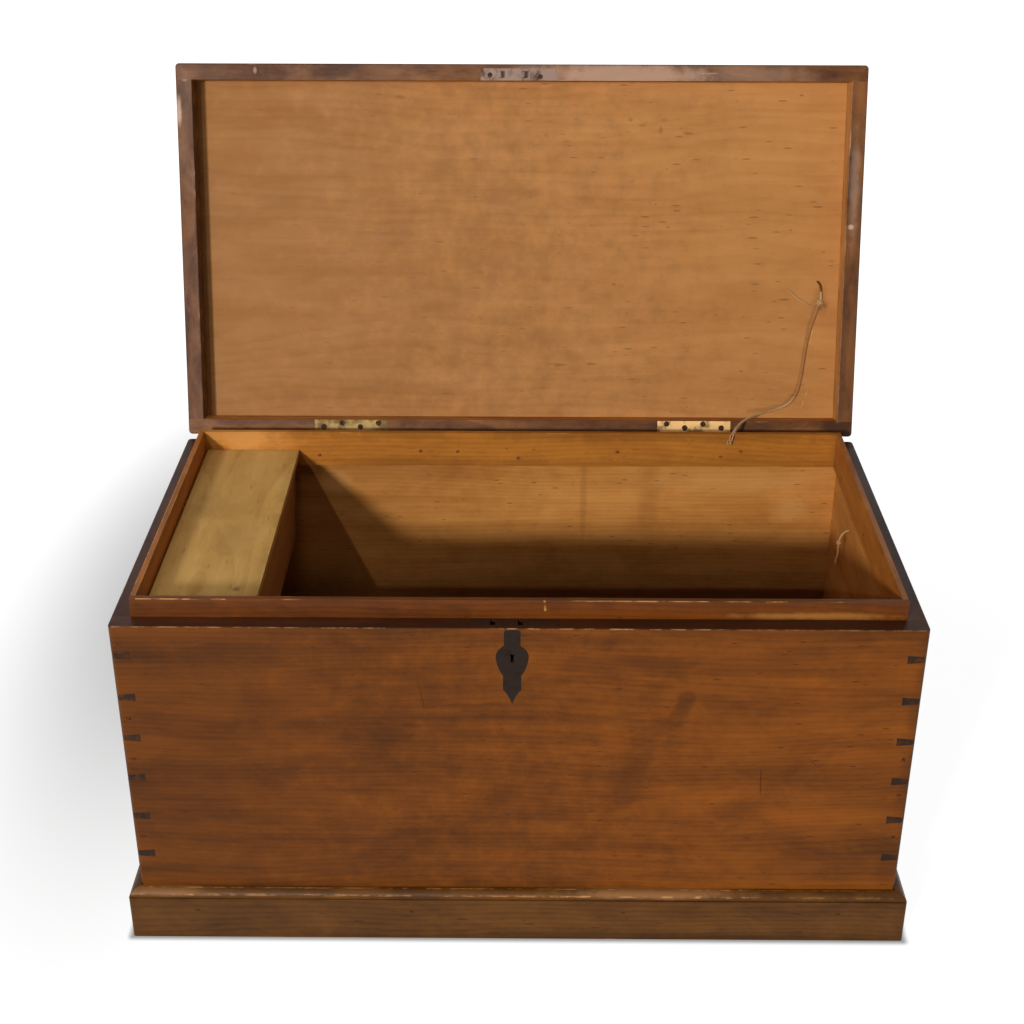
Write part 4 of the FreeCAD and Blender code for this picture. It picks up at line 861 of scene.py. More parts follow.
def board_material(
    node_name, way, faces, seed, marks,
    rings=0.2, streaks=0.35, blotch=0.35, dashes=0.35, grime=0.3, wear=0.002, wear_cover=0.35, gloss=0.2,
):
    material, tree, shader = new_material("wood_" + node_name)
    world, place, facing, half = in_board(tree, node_name, way)
    chosen = finishes_by_direction(tree, facing, faces)
    values = {"Vector": place, "Normal": facing, "Seed": seed, "Pith": PITH, "Ring Width": RING_WIDTH}
    values |= {"Pale": chosen["pale"], "Deep": chosen["deep"], "End Grain": chosen["end"]}
    values |= {"Ring Strength": rings, "Streak Strength": streaks, "Blotch Strength": blotch}
    wood = use_group(tree, softwood, values)
    dark = 0.0
    for spacing, stretch, strength in ((0.015, 2.4, SPECK_STRENGTH), (0.007, 6.0, dashes)):
        values = {"Vector": place, "Size": SPECK_SIZE, "Spacing": spacing, "Stretch": stretch}
        dots = use_group(tree, specks, {**values, "Share": SPECK_SHARE, "Seed": seed + spacing})[0]
        dark = strongest(tree, dark, times(tree, dots, strength))
    edges = {"Vector": place, "Half Size": half}
    corner = {"Reach": GRIME_REACH, "Cover": GRIME_COVER, "Seed": seed + 9}
    corners = use_group(tree, worn_edges, {**edges, **corner})[0]
    dark = strongest(tree, dark, times(tree, corners, grime))
    worn = use_group(tree, worn_edges, {**edges, "Reach": wear, "Cover": wear_cover, "Seed": seed})[0]
    worn = times(tree, worn, WEAR_DEPTH)
    # Shades are painted shade and darken. Rubs and gleams join the worn mask, so it carries painted light and painted
    # highlights as well as wear.
    for mark in marks:
        mask = mark_mask(tree, world, mark)
        if mark[0] in LIGHT_MARKS:
            worn = strongest(tree, worn, mask)
        else:
            dark = strongest(tree, dark, mask)
    grimy = blend_colour(tree, GRIME_DEPTH, wood["Color"], GRIME)
    base = blend_colour(tree, dark, wood["Color"], grimy)
    base = blend_colour(tree, worn, base, chosen["wear"])
    smeared = noise(tree, stretched(tree, place, (7, 18, 18)), detail=4)
    rough = calc(tree, "MULTIPLY_ADD", wood["Grain"], 0.12, chosen["roughness"])
    rough = calc(tree, "MULTIPLY_ADD", calc(tree, "SUBTRACT", smeared, 0.5), 0.3, rough, clamp=True)
    height = calc(tree, "SUBTRACT", wood["Height"], times(tree, dark, 0.8))
    values = {"Base Color": base, "Roughness": rough, "Normal": bumpy(tree, height, 0.22, 0.0006)}
    fill(tree, shader, {**values, "Specular IOR Level": gloss})
    return material


def dress(node_name, material):
    """The drawing's own materials, or its lack of one, give way to this one."""
    slots = nodes[node_name].material_slots
    if not len(slots):
        nodes[node_name].data.materials.append(material)
    for holder in slots:
        holder.material = material


# %% [markdown]
# ## The marks of its life
# The front has a long smear at the right, where a label or a strap once was, and a few scratches.
# Its left half, the left of the front lip and the left of the lid's panel are darker with painted
# shade, as the light is weaker there. The top edges of the front and of the front and left lips, and
# the ovolo along the plinth, have painted highlights. The lid's rims are rubbed where hands lift it;
# the inner face of the left rim is darkened with painted shade, and that of the right rim is lightened
# with painted light. The panel has a painted shadow of the cord, with some soil, where the cord lies.
# The back board is darker towards its foot with painted shade, and the back lip is paler above the
# till with painted light.

# %% Marks
def spots(kind, y, depth, *rows):
    """Marks round places at one y. A row is x and z, the spread along each, and the strength."""
    return [(kind, (x, y, z), (wide, depth, high), strength) for x, z, wide, high, strength in rows]


def strokes(kind, y, *rows):
    """Marks along lines at one y. A row is x and z twice, the strength and the width."""
    return [(kind, (x, y, z), (to_x, y, to_z), *rest) for x, z, to_x, to_z, *rest in rows]


FRONT_MARKS = (
    # painted shade: the left half of the front is darker, as the light is weaker there
    *spots("stain", 0, 0.015, (-0.6, 0.22, 0.95, 1.1, 0.5)),
    *strokes("smear", 0,
        (0.192, 0.345, 0.18, 0.316, 0.58, 0.016), (0.18, 0.316, 0.15, 0.294, 0.45, 0.02),
        (0.15, 0.294, 0.136, 0.266, 0.45, 0.024), (0.136, 0.266, 0.128, 0.208, 0.4, 0.028),
    ),
    *spots("stain", 0, 0.015,
        (0.224, 0.342, 0.024, 0.02, 0.25), (-0.3, 0.388, 0.15, 0.012, 0.5),
        (-0.335, 0.368, 0.12, 0.014, 0.42), (-0.23, 0.19, 0.06, 0.03, 0.34),
        (-0.37, 0.33, 0.09, 0.03, 0.25), (-0.33, 0.09, 0.12, 0.018, 0.42),
        (-0.106, 0.104, 0.22, 0.014, 0.42), (-0.06, 0.19, 0.08, 0.022, 0.3),
        (0.3, 0.395, 0.15, 0.026, 0.25), (0.09, 0.392, 0.16, 0.02, 0.34),
        (0.26, 0.185, 0.05, 0.024, 0.32), (0.36, 0.11, 0.11, 0.03, 0.3),
        (0.45, 0.11, 0.03, 0.06, 0.35),
    ),
    *strokes("scratch", 0,
        (-0.116, 0.379, -0.108, 0.334, 0.75, 0.0012), (-0.217, 0.283, -0.209, 0.247, 0.5, 0.0012),
        (0.284, 0.247, 0.286, 0.212, 0.75, 0.0012), (0.338, 0.266, 0.347, 0.254, 0.6, 0.0012),
        (-0.386, 0.262, -0.34, 0.238, 0.5, 0.0012), (0.07, 0.206, 0.18, 0.204, 0.45, 0.001),
    ),
    # painted highlights: thin bright lines along the top edge of the front
    *strokes("gleam", 0,
        (-0.455, 0.4388, -0.15, 0.4388, 0.45, 0.0012), (-0.03, 0.4388, 0.215, 0.4388, 0.75, 0.0013),
        (0.215, 0.4388, 0.455, 0.4388, 0.35, 0.0012),
    ),
)
FRONT_LIP_MARKS = (
    # the gleams here are painted highlights along the top edge of the front lip
    *strokes("gleam", 0.022,
        (-0.43, 0.4622, -0.33, 0.4622, 0.8, 0.0015), (0.06, 0.4622, 0.3, 0.4622, 0.7, 0.0013),
    ),
    # painted shade: the left of the front lip is darker, as the light is weaker there
    *strokes("smear", 0.022, (-0.43, 0.448, -0.06, 0.444, 0.5, 0.016)),
    *strokes("gleam", 0.022, (0.029, 0.462, 0.03, 0.45, 0.9, 0.0018)),
    *spots("rub", 0.022, 1, (0.33, 0.444, 0.11, 0.006, 0.35)),
)
BACK_LIP_MARKS = (
    # painted light: the back lip is paler above the till, where light bounces off the till's lid
    ("rub", (-0.375, 0.4695, 0.452), (0.08, 1, 0.03), 0.7),
)
LEFT_LIP_MARKS = (
    # painted highlights along the top edges of the left lip
    ("gleam", (-0.438, 0.03, 0.4622), (-0.438, 0.47, 0.4622), 0.8, 0.0016),
    ("gleam", (-0.438, 0.03, 0.44), (-0.438, 0.47, 0.44), 0.6, 0.0016),
)
BACK_MARKS = (
    *spots("stain", 0.476, 0.015,
        (0.089, 0.3, 0.007, 0.3, 0.24), (0.18, 0.3, 0.02, 0.3, 0.2),
        (-0.3, 0.34, 0.42, 0.4, 0.24),
    ),
    # painted shade: the foot of the back board is darkened, deep in the box where little light reaches
    *spots("shade", 0.476, 0.015,
        (-0.29, 0.07, 0.15, 0.28, 0.95), (0.05, 0.04, 1.1, 0.31, 0.85),
    ),
    *spots("rub", 0.476, 0.015,
        (-0.255, 0.385, 0.03, 0.026, 0.35), (0.3, 0.39, 0.16, 0.028, 0.3),
        (0.38, 0.345, 0.04, 0.03, 0.35),
    ),
)
# painted highlights along the ovolo: the lines they follow, and where each starts and ends with its strength
OVOLO_HIGHLIGHT_LINES = ((-0.0034, 0.0695), (-0.011, 0.0645))
OVOLO_HIGHLIGHTS = (
    (-0.47, -0.385, 0.75),
    (-0.385, -0.13, 0.45),
    (-0.11, 0.06, 0.5),
    (0.06, 0.28, 0.9),
    (0.28, 0.455, 0.3),
)
PLINTH_MARKS = (
    *spots("stain", -0.0135, 1,
        (0.12, 0.004, 0.5, 0.01, 0.5), (-0.38, 0.03, 0.2, 0.06, 0.3),
    ),
    # painted highlights on the ovolo
    *spots("rub", -0.0075, 1,
        (0.17, 0.068, 0.15, 0.008, 0.42), (-0.43, 0.068, 0.06, 0.008, 0.3),
    ),
    *(
        ("gleam", (start, *line), (end, *line), strength, 0.0017)
        for start, end, strength in OVOLO_HIGHLIGHTS
        for line in OVOLO_HIGHLIGHT_LINES
    ),
)
# painted shadow of the cord on the panel, with some soil: the places it runs through
CORD_SHADOW_RUNS = (
    (0.4092, 0.586, 0.6092),
    (0.4008, 0.5775, 0.5786),
    (0.3952, 0.5686, 0.5464),
    (0.3925, 0.5593, 0.5127),
    (0.3851, 0.5521, 0.4869),
    (0.3689, 0.5479, 0.4718),
    (0.3439, 0.5464, 0.4662),
    (0.3202, 0.5452, 0.4621),
)
PANEL_SPOTS = (
    (0.415, 0.586, 0.611, 0.016, 0.026, 0.3), (0.148, 0.6517, 0.846, 0.006, 0.004, 0.4),
    (0.164, 0.65, 0.839, 0.008, 0.002, 0.4), (0.193, 0.6517, 0.846, 0.008, 0.004, 0.3),
    (0.189, 0.6482, 0.8334, 0.005, 0.008, 0.4), (0.227, 0.647, 0.829, 0.011, 0.002, 0.5),
    (0.034, 0.646, 0.826, 0.005, 0.006, 0.3), (-0.1643, 0.6595, 0.8741, 0.014, 0.005, 0.5),
    (-0.3735, 0.646, 0.827, 0.005, 0.01, 0.35), (0.0555, 0.5626, 0.5248, 0.016, 0.004, 0.45),
    (0.0974, 0.563, 0.5263, 0.01, 0.003, 0.5),
)
PANEL_MARKS = (
    # painted shadow of the cord, with some soil, along its runs
    *(("smear", start, end, 0.32, 0.0042) for start, end in zip(CORD_SHADOW_RUNS, CORD_SHADOW_RUNS[1:])),
    # painted shade: the left of the panel is darker, as the light is weaker there
    ("stain", (-0.62, 0.57, 0.66), (1.00, 1, 0.9), 0.36),
    ("gleam", (0.4115, 0.5853, 0.6066), (0.4028, 0.5705, 0.5532), 0.7, 0.0011),
    ("gleam", (0.4128, 0.5835, 0.6), (0.413, 0.5705, 0.5532), 0.4, 0.001),
    ("gleam", (0.404, 0.5566, 0.5032), (0.4006, 0.5517, 0.4856), 0.9, 0.0011),
    ("gleam", (0.4006, 0.5517, 0.4856), (0.3943, 0.5468, 0.4678), 0.9, 0.0013),
    *(("stain", place, (wide, 0.012, high), strength) for *place, wide, high, strength in PANEL_SPOTS),
)
TILL_MARKS = (
    ("stain", (-0.3296, 0.089, 0.4285), (0.007, 0.008, 1), 0.7),
    ("stain", (-0.4, 0.3, 0.4285), (0.03, 0.07, 1), 0.22),
    ("stain", (-0.35, 0.21, 0.4285), (0.03, 0.06, 1), 0.2),
)
FRONT_RIM_MARKS = (
    ("rub", (0.135, 0.633, 0.909), (0.17, 0.007, 0.06), 0.6),
    ("rub", (0.3, 0.633, 0.909), (0.11, 0.007, 0.06), 0.25),
    ("rub", (-0.354, 0.634, 0.915), (0.003, 0.005, 0.006), 0.5),
    ("gleam", (0.05, 0.6309, 0.9032), (0.24, 0.6309, 0.9032), 0.6, 0.0016),
    ("gleam", (0.06, 0.6321, 0.907), (0.23, 0.6321, 0.907), 0.6, 0.0014),
    ("gleam", (0.08, 0.6336, 0.9125), (0.26, 0.6336, 0.9125), 0.6, 0.0016),
)
LEFT_RIM_MARKS = (
    ("rub", (-0.4575, 0.62, 0.862), (0.005, 0.012, 0.03), 0.8),
    ("rub", (-0.448, 0.632, 0.905), (0.006, 0.006, 0.006), 0.7),
    # painted shade on the inner face of the left rim, which faces away from the lamps
    ("stain", (-0.4375, 0.57, 0.66), (0.004, 1.5, 1.5), 1.0),
    ("stain", (-0.45, 0.624, 0.88), (0.014, 0.03, 0.06), 0.6),
)
RIGHT_RIM_MARKS = (
    ("rub", (0.4458, 0.58, 0.72), (0.005, 0.006, 0.005), 0.9),
    ("rub", (0.448, 0.594, 0.77), (0.01, 0.04, 0.1), 0.3),
    # painted light on the inner face of the right rim, which faces the lamps
    ("rub", (0.4375, 0.57, 0.66), (0.0028, 1.5, 1.5), 0.5),
)

# %% [markdown]
# ## Dressing the boards
# Every board is one row: which way it lies, its finishes with the direction each one faces, its
# marks, and whatever differs from a plain board. The number of the row seeds its grain, so no two
# boards are alike.

# %% Boards
UP = (0, 0, 1)
DOWN = (0, 0, -1)
BACKWARDS = (0, 1, 0)
FORWARDS = (0, -1, 0)
BOX_OUT_FRONT = [(OUTSIDE, None), (INSIDE, BACKWARDS), (LEDGE, UP)]
BOX_OUT_BACK = [(OUTSIDE, None), (INSIDE, FORWARDS), (LEDGE, UP)]
RIM_IN_BACK = [(OUTSIDE, None), (INSIDE, BACKWARDS), (RIM, DOWN)]
RIM_IN_FRONT = [(OUTSIDE, None), (INSIDE, FORWARDS), (RIM, DOWN)]
FACE_LOOK = {"rings": 0.12, "blotch": 0.38, "streaks": 0.45, "dashes": 0.75}
FACE_LOOK |= {"wear_cover": 0.3, "wear": 0.0014, "gloss": 0.13}
PANEL_LOOK = {"rings": 0.1, "streaks": 0.28, "blotch": 0.27, "dashes": 0.5}
RIM_LOOK = {"gloss": 0.17, "blotch": 0.8, "streaks": 0.3, "wear_cover": 0.25}
PLINTH_LOOK = {"gloss": 0.15, "wear": 0.0014, "wear_cover": 0.3, "blotch": 0.5, "dashes": 0.6}
LIP_LOOK = {"wear": 0.0012, "wear_cover": 0.35}
BOARDS = (
    ("front_board", "long", BOX_OUT_FRONT, FRONT_MARKS, FACE_LOOK),
    ("back_board", "long", BOX_OUT_BACK, BACK_MARKS, FACE_LOOK),
    ("left_end_board", "deep", BOX_OUT_BACK, (), FACE_LOOK),
    ("right_end_board", "deep", BOX_OUT_FRONT, (), FACE_LOOK),
    ("lid_top_board", "lid_long", [(OUTSIDE, None), (PANEL, DOWN)], PANEL_MARKS, PANEL_LOOK),
    ("lid_rim_front", "lid_long", RIM_IN_BACK, FRONT_RIM_MARKS, RIM_LOOK),
    ("lid_rim_back", "lid_long", RIM_IN_FRONT, (), RIM_LOOK),
    ("lid_rim_left", "lid_deep", RIM_IN_FRONT, LEFT_RIM_MARKS, RIM_LOOK),
    ("lid_rim_right", "lid_deep", RIM_IN_BACK, RIGHT_RIM_MARKS, RIM_LOOK),
    ("plinth_front", "long", [(PLINTH, None)], PLINTH_MARKS, PLINTH_LOOK),
    ("plinth_back", "long", [(PLINTH, None)], (), PLINTH_LOOK),
    ("plinth_left", "deep", [(PLINTH, None)], (), PLINTH_LOOK),
    ("plinth_right", "deep", [(PLINTH, None)], (), PLINTH_LOOK),
    ("lip_front", "long", [(FRONT_LIP, None)], FRONT_LIP_MARKS, LIP_LOOK),
    ("lip_back", "long", [(BACK_LIP, None)], BACK_LIP_MARKS, LIP_LOOK),
    ("lip_left", "deep", [(SIDE_LIP, None)], LEFT_LIP_MARKS, LIP_LOOK),
    ("lip_right", "deep", [(SIDE_LIP, None)], (), LIP_LOOK),
    ("till_lid", "deep", [(TILL, None)], TILL_MARKS, {"grime": 0.15}),
    ("till_side_board", "deep", [(SHADED_TILL_SIDE, None)], (), {}),
    ("till_bottom_board", "deep", [(TILL, None)], (), {}),
    ("bottom_board_front", "long", [(FLOOR_BOARD, None)], (), {}),
    ("bottom_board_middle", "long", [(FLOOR_BOARD, None)], (), {}),
    ("bottom_board_back", "long", [(FLOOR_BOARD, None)], (), {}),
)
for number, (node_name, way, faces, marks, look) in enumerate(BOARDS):
    dress(node_name, board_material(node_name, way, faces, 3.7 * number + 1, marks, **look))
print("boards finished:", len(BOARDS))

# %% [markdown]
# ## Iron and brass
# The ironwork is a hundred years old: brown-black, with dull rust in patches. The hinges are cast
# brass. Brass stays bright where it is rubbed and goes brown in the hollows. The nails outside were
# stained over with the wood, so they are nearly as brown as the boards. A metal is one row: its clean
# and its stained colour, the share that is stained, how metallic and how rough it is, and, where
# they differ, the size of the patches, their relief and the gloss.

# %% Metals
def make_rust():
    inputs = {"Vector": ORIGIN, "Scale": 60.0, "Amount": 0.5}
    tree, given, result = new_group("rust_patches", inputs, {"Mask": "Float", "Height": "Float"})
    broad = noise(tree, given["Vector"], scale=given["Scale"], detail=5, roughness=0.65)
    fine = noise(tree, given["Vector"], scale=times(tree, given["Scale"], 14), detail=3)
    edge = calc(tree, "SUBTRACT", 1.0, given["Amount"])
    mask = soft_step(tree, broad, times(tree, edge, 0.85), calc(tree, "ADD", edge, 0.15))
    fill(tree, result, {"Mask": mask, "Height": calc(tree, "MULTIPLY_ADD", fine, 0.5, broad)})
    return tree


rust_patches = make_rust()


def metal_material(name, clean, stained, amount, metallic, roughness, scale=70, relief=0.25, gloss=0.2):
    material, tree, shader = new_material(name)
    place = add(tree, "ShaderNodeTexCoord").outputs["Object"]
    rust = use_group(tree, rust_patches, {"Vector": place, "Scale": scale, "Amount": amount})
    values = {
        "Base Color": blend_colour(tree, rust["Mask"], colour(*clean), colour(*stained)),
        "Metallic": calc(tree, "MULTIPLY_ADD", rust["Mask"], -0.8 * metallic, metallic),
        "Roughness": calc(tree, "MULTIPLY_ADD", rust["Mask"], 0.3, roughness, clamp=True),
        "Normal": bumpy(tree, rust["Height"], relief, 0.0005),
        "Specular IOR Level": gloss,
    }
    fill(tree, shader, values)
    return material


METALS = {
    "old_iron": ((38, 27, 20), (34, 22, 15), 0.5, 0.3, 0.55),
    "screw_iron": ((66, 44, 28), (52, 30, 16), 0.55, 0.3, 0.5, 300),
    "stained_nail": ((84, 44, 18), (60, 30, 12), 0.5, 0.1, 0.5, 300),
    "rusty_iron": ((134, 78, 40), (78, 42, 20), 0.5, 0.1, 0.6, 200),
    "old_brass": ((216, 172, 112), (116, 88, 50), 0.46, 0.7, 0.45, 45, 0.15, 0.4),
    # painted reflection: the left hinge wears this duller copy of the brass, standing in for the weaker reflection it
    # shows
    "brass_painted_dull": ((150, 122, 72), (116, 88, 50), 0.55, 0.4, 0.5, 45, 0.15, 0.3),
    "lock_iron": ((64, 42, 30), (48, 28, 18), 0.5, 0.5, 0.45),
    "striker_iron": ((128, 104, 92), (84, 62, 50), 0.45, 0.3, 0.45),
}
metals = {name: metal_material(name, *values) for name, values in METALS.items()}
METAL_PIECES = (
    ("old_iron", ["escutcheon", "handle_plate_left", "handle_plate_right"]),
    ("old_iron", ["handle_bail_left", "handle_bail_right"]),
    ("rusty_iron", ["stay_hook"]),
    ("lock_iron", ["lock_plate", "lock_cap", "lock_spring", "key_pin", "lock_bolt"]),
    ("striker_iron", ["striker_plate"]),
    ("brass_painted_dull", ["hinge_leaf_carcass_left", "hinge_leaf_lid_left", "hinge_pin_left"]),
    ("old_brass", ["hinge_leaf_carcass_right", "hinge_leaf_lid_right", "hinge_pin_right"]),
)
for metal, names in METAL_PIECES:
    for name in names:
        dress(name, metals[metal])
print("pieces of metal:", sum(len(names) for _, names in METAL_PIECES))

# %% [markdown]
# ## Where the nails and screws are
# The carpenter's drawing holds every nail and screw as a plain solid. Each node's mesh is taken
# apart into its separate islands, and each island's longest direction is the way it was driven. Its
# wider end is the head. So a head can be remade in detail at exactly the same place.

# %% Finding the nails and screws
SAME_PLACE = 0.00001
SAME_END = 0.0001


def islands_of(mesh):
    """Each island's corners. A dict keeps its order, so every run finds the islands in the same one."""
    waiting = dict.fromkeys(mesh.verts)
    while waiting:
        island = []
        reached = [waiting.popitem()[0]]
        while reached:
            vertex = reached.pop()
            island.append(vertex.co.copy())
            for edge in vertex.link_edges:
                neighbour = edge.other_vert(vertex)
                if neighbour in waiting:
                    del waiting[neighbour]
                    reached.append(neighbour)
        yield island


def driven_way(corners):
    """The longest direction through the island: the spread of its corners, gathered by repetition."""
    middle = sum(corners, Vector()) / len(corners)
    spread = Matrix.Diagonal((0, 0, 0))
    for corner in corners:
        away = corner - middle
        for row in range(3):
            spread[row] = spread[row] + away[row] * away
    way = Vector((0.5, 0.6, 0.7))
    for _ in range(60):
        way = (spread @ way).normalized()
    return middle, way


def widest_across(corners, way):
    flat = [corner - way * corner.dot(way) for corner in corners]
    return max((second - first for first in flat for second in flat), key=lambda gap: gap.length)


def head_of(corners):
    """The head's middle, the way it faces, its side, its width, and the length of the whole."""
    middle, way = driven_way(corners)
    reach = [(corner - middle).dot(way) for corner in corners]
    ends = []
    for limit, sign in ((max(reach), 1), (min(reach), -1)):
        end = [corner for corner, far in zip(corners, reach) if abs(far - limit) < SAME_END]
        ends.append((widest_across(end, way).length, way * sign, end))
    width, facing, end = max(ends, key=lambda found_end: found_end[0])
    return sum(end, Vector()) / len(end), facing, widest_across(end, way), width, max(reach) - min(reach)


def heads_in(node_names):
    found = []
    for node_name in node_names:
        mesh = bmesh.new()
        mesh.from_mesh(nodes[node_name].data)
        bmesh.ops.remove_doubles(mesh, verts=mesh.verts, dist=SAME_PLACE)
        found += [head_of(corners) for corners in islands_of(mesh)]
        mesh.free()
    return found


def points_object(name, heads):
    """A mesh of bare points, one at each head, with what Geometry Nodes need to know about it."""
    data = bpy.data.meshes.new(name)
    places, facings, sides, widths, lengths = zip(*heads)
    data.from_pydata(places, [], [])
    for label, vectors in (("facing", facings), ("side", sides)):
        values = data.attributes.new(label, "FLOAT_VECTOR", "POINT").data
        values.foreach_set("vector", [part for vector in vectors for part in vector.normalized()])
    for label, measures in (("width", widths), ("length", lengths)):
        data.attributes.new(label, "FLOAT", "POINT").data.foreach_set("value", measures)
    return new_object(name, data)


# %% [markdown]
# ## Nails and screws by Geometry Nodes
# There are a hundred of them, so they are made by a rule: one shape placed at every point, turned to
# face outwards, and given the width and length of the solid it stands for. A cut nail has a flat
# rectangular head, dented by the hammer, so after the heads are made real a noise moves their
# corners. A screw has a countersunk head with a slot, each turned its own way.

# %% Helpers for Geometry Nodes
def new_shape_tree(name, inputs):
    """A Geometry Nodes tree with a geometry in and out, and named inputs for its sizes."""
    inputs = {"Geometry": "Geometry", **inputs}
    return new_group(name, inputs, {"Geometry": "Geometry"}, "GeometryNodeTree")


def shaped(tree, kind, values, **settings):
    """What a Geometry Nodes node of this kind makes."""
    return add(tree, "GeometryNode" + kind, values, **settings).outputs[0]


def combine(tree, x, y, z):
    return add(tree, "ShaderNodeCombineXYZ", {"X": x, "Y": y, "Z": z}).outputs[0]


def named(tree, label, kind="FLOAT"):
    return shaped(tree, "InputNamedAttribute", {"Name": label}, data_type=kind)


def moved(tree, shape, way):
    return shaped(tree, "Transform", {"Geometry": shape, "Translation": way})


def box_shape(tree, size, middle):
    return moved(tree, shaped(tree, "MeshCube", {"Size": size}), middle)


def cone_shape(tree, sides, top, bottom, depth, foot):
    values = {"Vertices": sides, "Radius Top": top, "Radius Bottom": bottom, "Depth": depth}
    return moved(tree, shaped(tree, "MeshCone", values), foot)


def at_each_head(tree, points, shape, scale, given):
    """The shape at every point, its Z facing outwards and its X turned towards the point's side."""
    axes = {"Primary Axis": named(tree, "facing", "FLOAT_VECTOR")}
    axes |= {"Secondary Axis": named(tree, "side", "FLOAT_VECTOR")}
    turn = add(tree, "FunctionNodeAxesToRotation", axes, primary_axis="Z", secondary_axis="X")
    values = {"Min": (0, 0, 0), "Max": (0, 0, 1), "Seed": given["Seed"]}
    chance = add(tree, "FunctionNodeRandomValue", values, data_type="FLOAT_VECTOR").outputs[0]
    swing = vector_calc(tree, "MULTIPLY", chance, combine(tree, 0, 0, given["Turn"]))
    values = {"Rotation": turn.outputs[0], "Rotate By": swing}
    turn = add(tree, "FunctionNodeRotateRotation", values, rotation_space="LOCAL")
    values = {"Points": points, "Instance": shape, "Rotation": turn.outputs[0], "Scale": scale}
    return shaped(tree, "RealizeInstances", {"Geometry": shaped(tree, "InstanceOnPoints", values)})


def finish_shape(tree, heads, shanks, given, result):
    both = tree.nodes.new("GeometryNodeJoinGeometry")
    for shape in (heads, shanks):
        tree.links.new(shape, both.inputs[0])
    values = {"Geometry": both.outputs[0], "Material": given["Finish"]}
    fill(tree, result, {"Geometry": shaped(tree, "SetMaterial", values)})
    return tree


# %% Cut nails
def make_cut_nails():
    inputs = {"Flatness": 0.72, "Head Thickness": 0.001, "Shank Width": 0.0022, "Dents": 0.0004}
    inputs |= {"Turn": 0.2, "Seed": 4, "Finish": "Material"}
    tree, given, result = new_shape_tree("cut_nails", inputs)
    points, thickness, depth = given["Geometry"], given["Head Thickness"], given["Dents"]
    size = combine(tree, 0.8, times(tree, given["Flatness"], 0.8), thickness)
    head = box_shape(tree, size, combine(tree, 0, 0, times(tree, thickness, -0.5)))
    head = shaped(tree, "SubdivideMesh", {"Mesh": head, "Level": 2})
    width = named(tree, "width")
    heads = at_each_head(tree, points, head, combine(tree, width, width, 1.0), given)
    place = tree.nodes.new("GeometryNodeInputPosition").outputs[0]
    dent = add(tree, "ShaderNodeTexNoise", {"Vector": place, "Scale": 700.0, "Detail": 2.0}).outputs["Color"]
    dent = vector_calc(tree, "SUBTRACT", dent, (0.5, 0.5, 0.5))
    dent = vector_calc(tree, "MULTIPLY", dent, combine(tree, depth, depth, depth))
    heads = shaped(tree, "SetPosition", {"Geometry": heads, "Offset": dent})
    shank = box_shape(tree, combine(tree, 1, 1, 0.94), combine(tree, 0, 0, -0.47))
    below = times(tree, thickness, -0.9)
    drop = combine(tree, below, below, below)
    drop = vector_calc(tree, "MULTIPLY", named(tree, "facing", "FLOAT_VECTOR"), drop)
    points = shaped(tree, "SetPosition", {"Geometry": points, "Offset": drop})
    scale = combine(tree, given["Shank Width"], given["Shank Width"], named(tree, "length"))
    shanks = at_each_head(tree, points, shank, scale, given)
    return finish_shape(tree, heads, shanks, given, result)


cut_nails = make_cut_nails()
print("tree:", cut_nails.name, "with", len(cut_nails.nodes), "nodes")


# %% Slotted screws
def make_slotted_screws():
    inputs = {"Sides": 20, "Head Depth": 0.6, "Shank Radius": 0.43, "Slot Width": 0.26, "Slot Depth": 0.3}
    inputs |= {"Turn": 3.1, "Seed": 9, "Finish": "Material"}
    tree, given, result = new_shape_tree("slotted_screws", inputs)
    points, depth, narrow = given["Geometry"], given["Head Depth"], given["Shank Radius"]
    foot = combine(tree, 0, 0, times(tree, depth, -1.0))
    head = cone_shape(tree, given["Sides"], 0.985, narrow, depth, foot)
    slot_size = combine(tree, 3, given["Slot Width"], times(tree, given["Slot Depth"], 2.0))
    values = {"Mesh 1": head, "Mesh 2": box_shape(tree, slot_size, ORIGIN)}
    head = shaped(tree, "MeshBoolean", values, operation="DIFFERENCE")
    radius = times(tree, named(tree, "width"), 0.5)
    heads = at_each_head(tree, points, head, combine(tree, radius, radius, radius), given)
    shank = cone_shape(tree, 10, narrow, times(tree, narrow, 0.55), 0.9, (0, 0, -1.0))
    scale = combine(tree, radius, radius, named(tree, "length"))
    shanks = at_each_head(tree, points, shank, scale, given)
    return finish_shape(tree, heads, shanks, given, result)


slotted_screws = make_slotted_screws()
print("tree:", slotted_screws.name, "with", len(slotted_screws.nodes), "nodes")


# %% Making them plain meshes
WELDED = 0.000001


def grow(name, heads, tree, material):
    """The tree run on the points, and its result kept as a plain mesh."""
    piece = points_object(name, heads)
    modifier = piece.modifiers.new("grow", "NODES")
    modifier.node_group = tree
    finish = next(item for item in tree.interface.items_tree if item.name == "Finish")
    modifier[finish.identifier] = material
    bpy.context.view_layer.update()
    seen = piece.evaluated_get(bpy.context.evaluated_depsgraph_get())
    plain = bpy.data.meshes.new_from_object(seen)
    piece.modifiers.remove(modifier)
    piece.data = plain
    mesh = bmesh.new()
    mesh.from_mesh(plain)
    bmesh.ops.remove_doubles(mesh, verts=mesh.verts, dist=WELDED)
    bmesh.ops.recalc_face_normals(mesh, faces=mesh.faces)
    mesh.to_mesh(plain)
    mesh.free()
    return piece


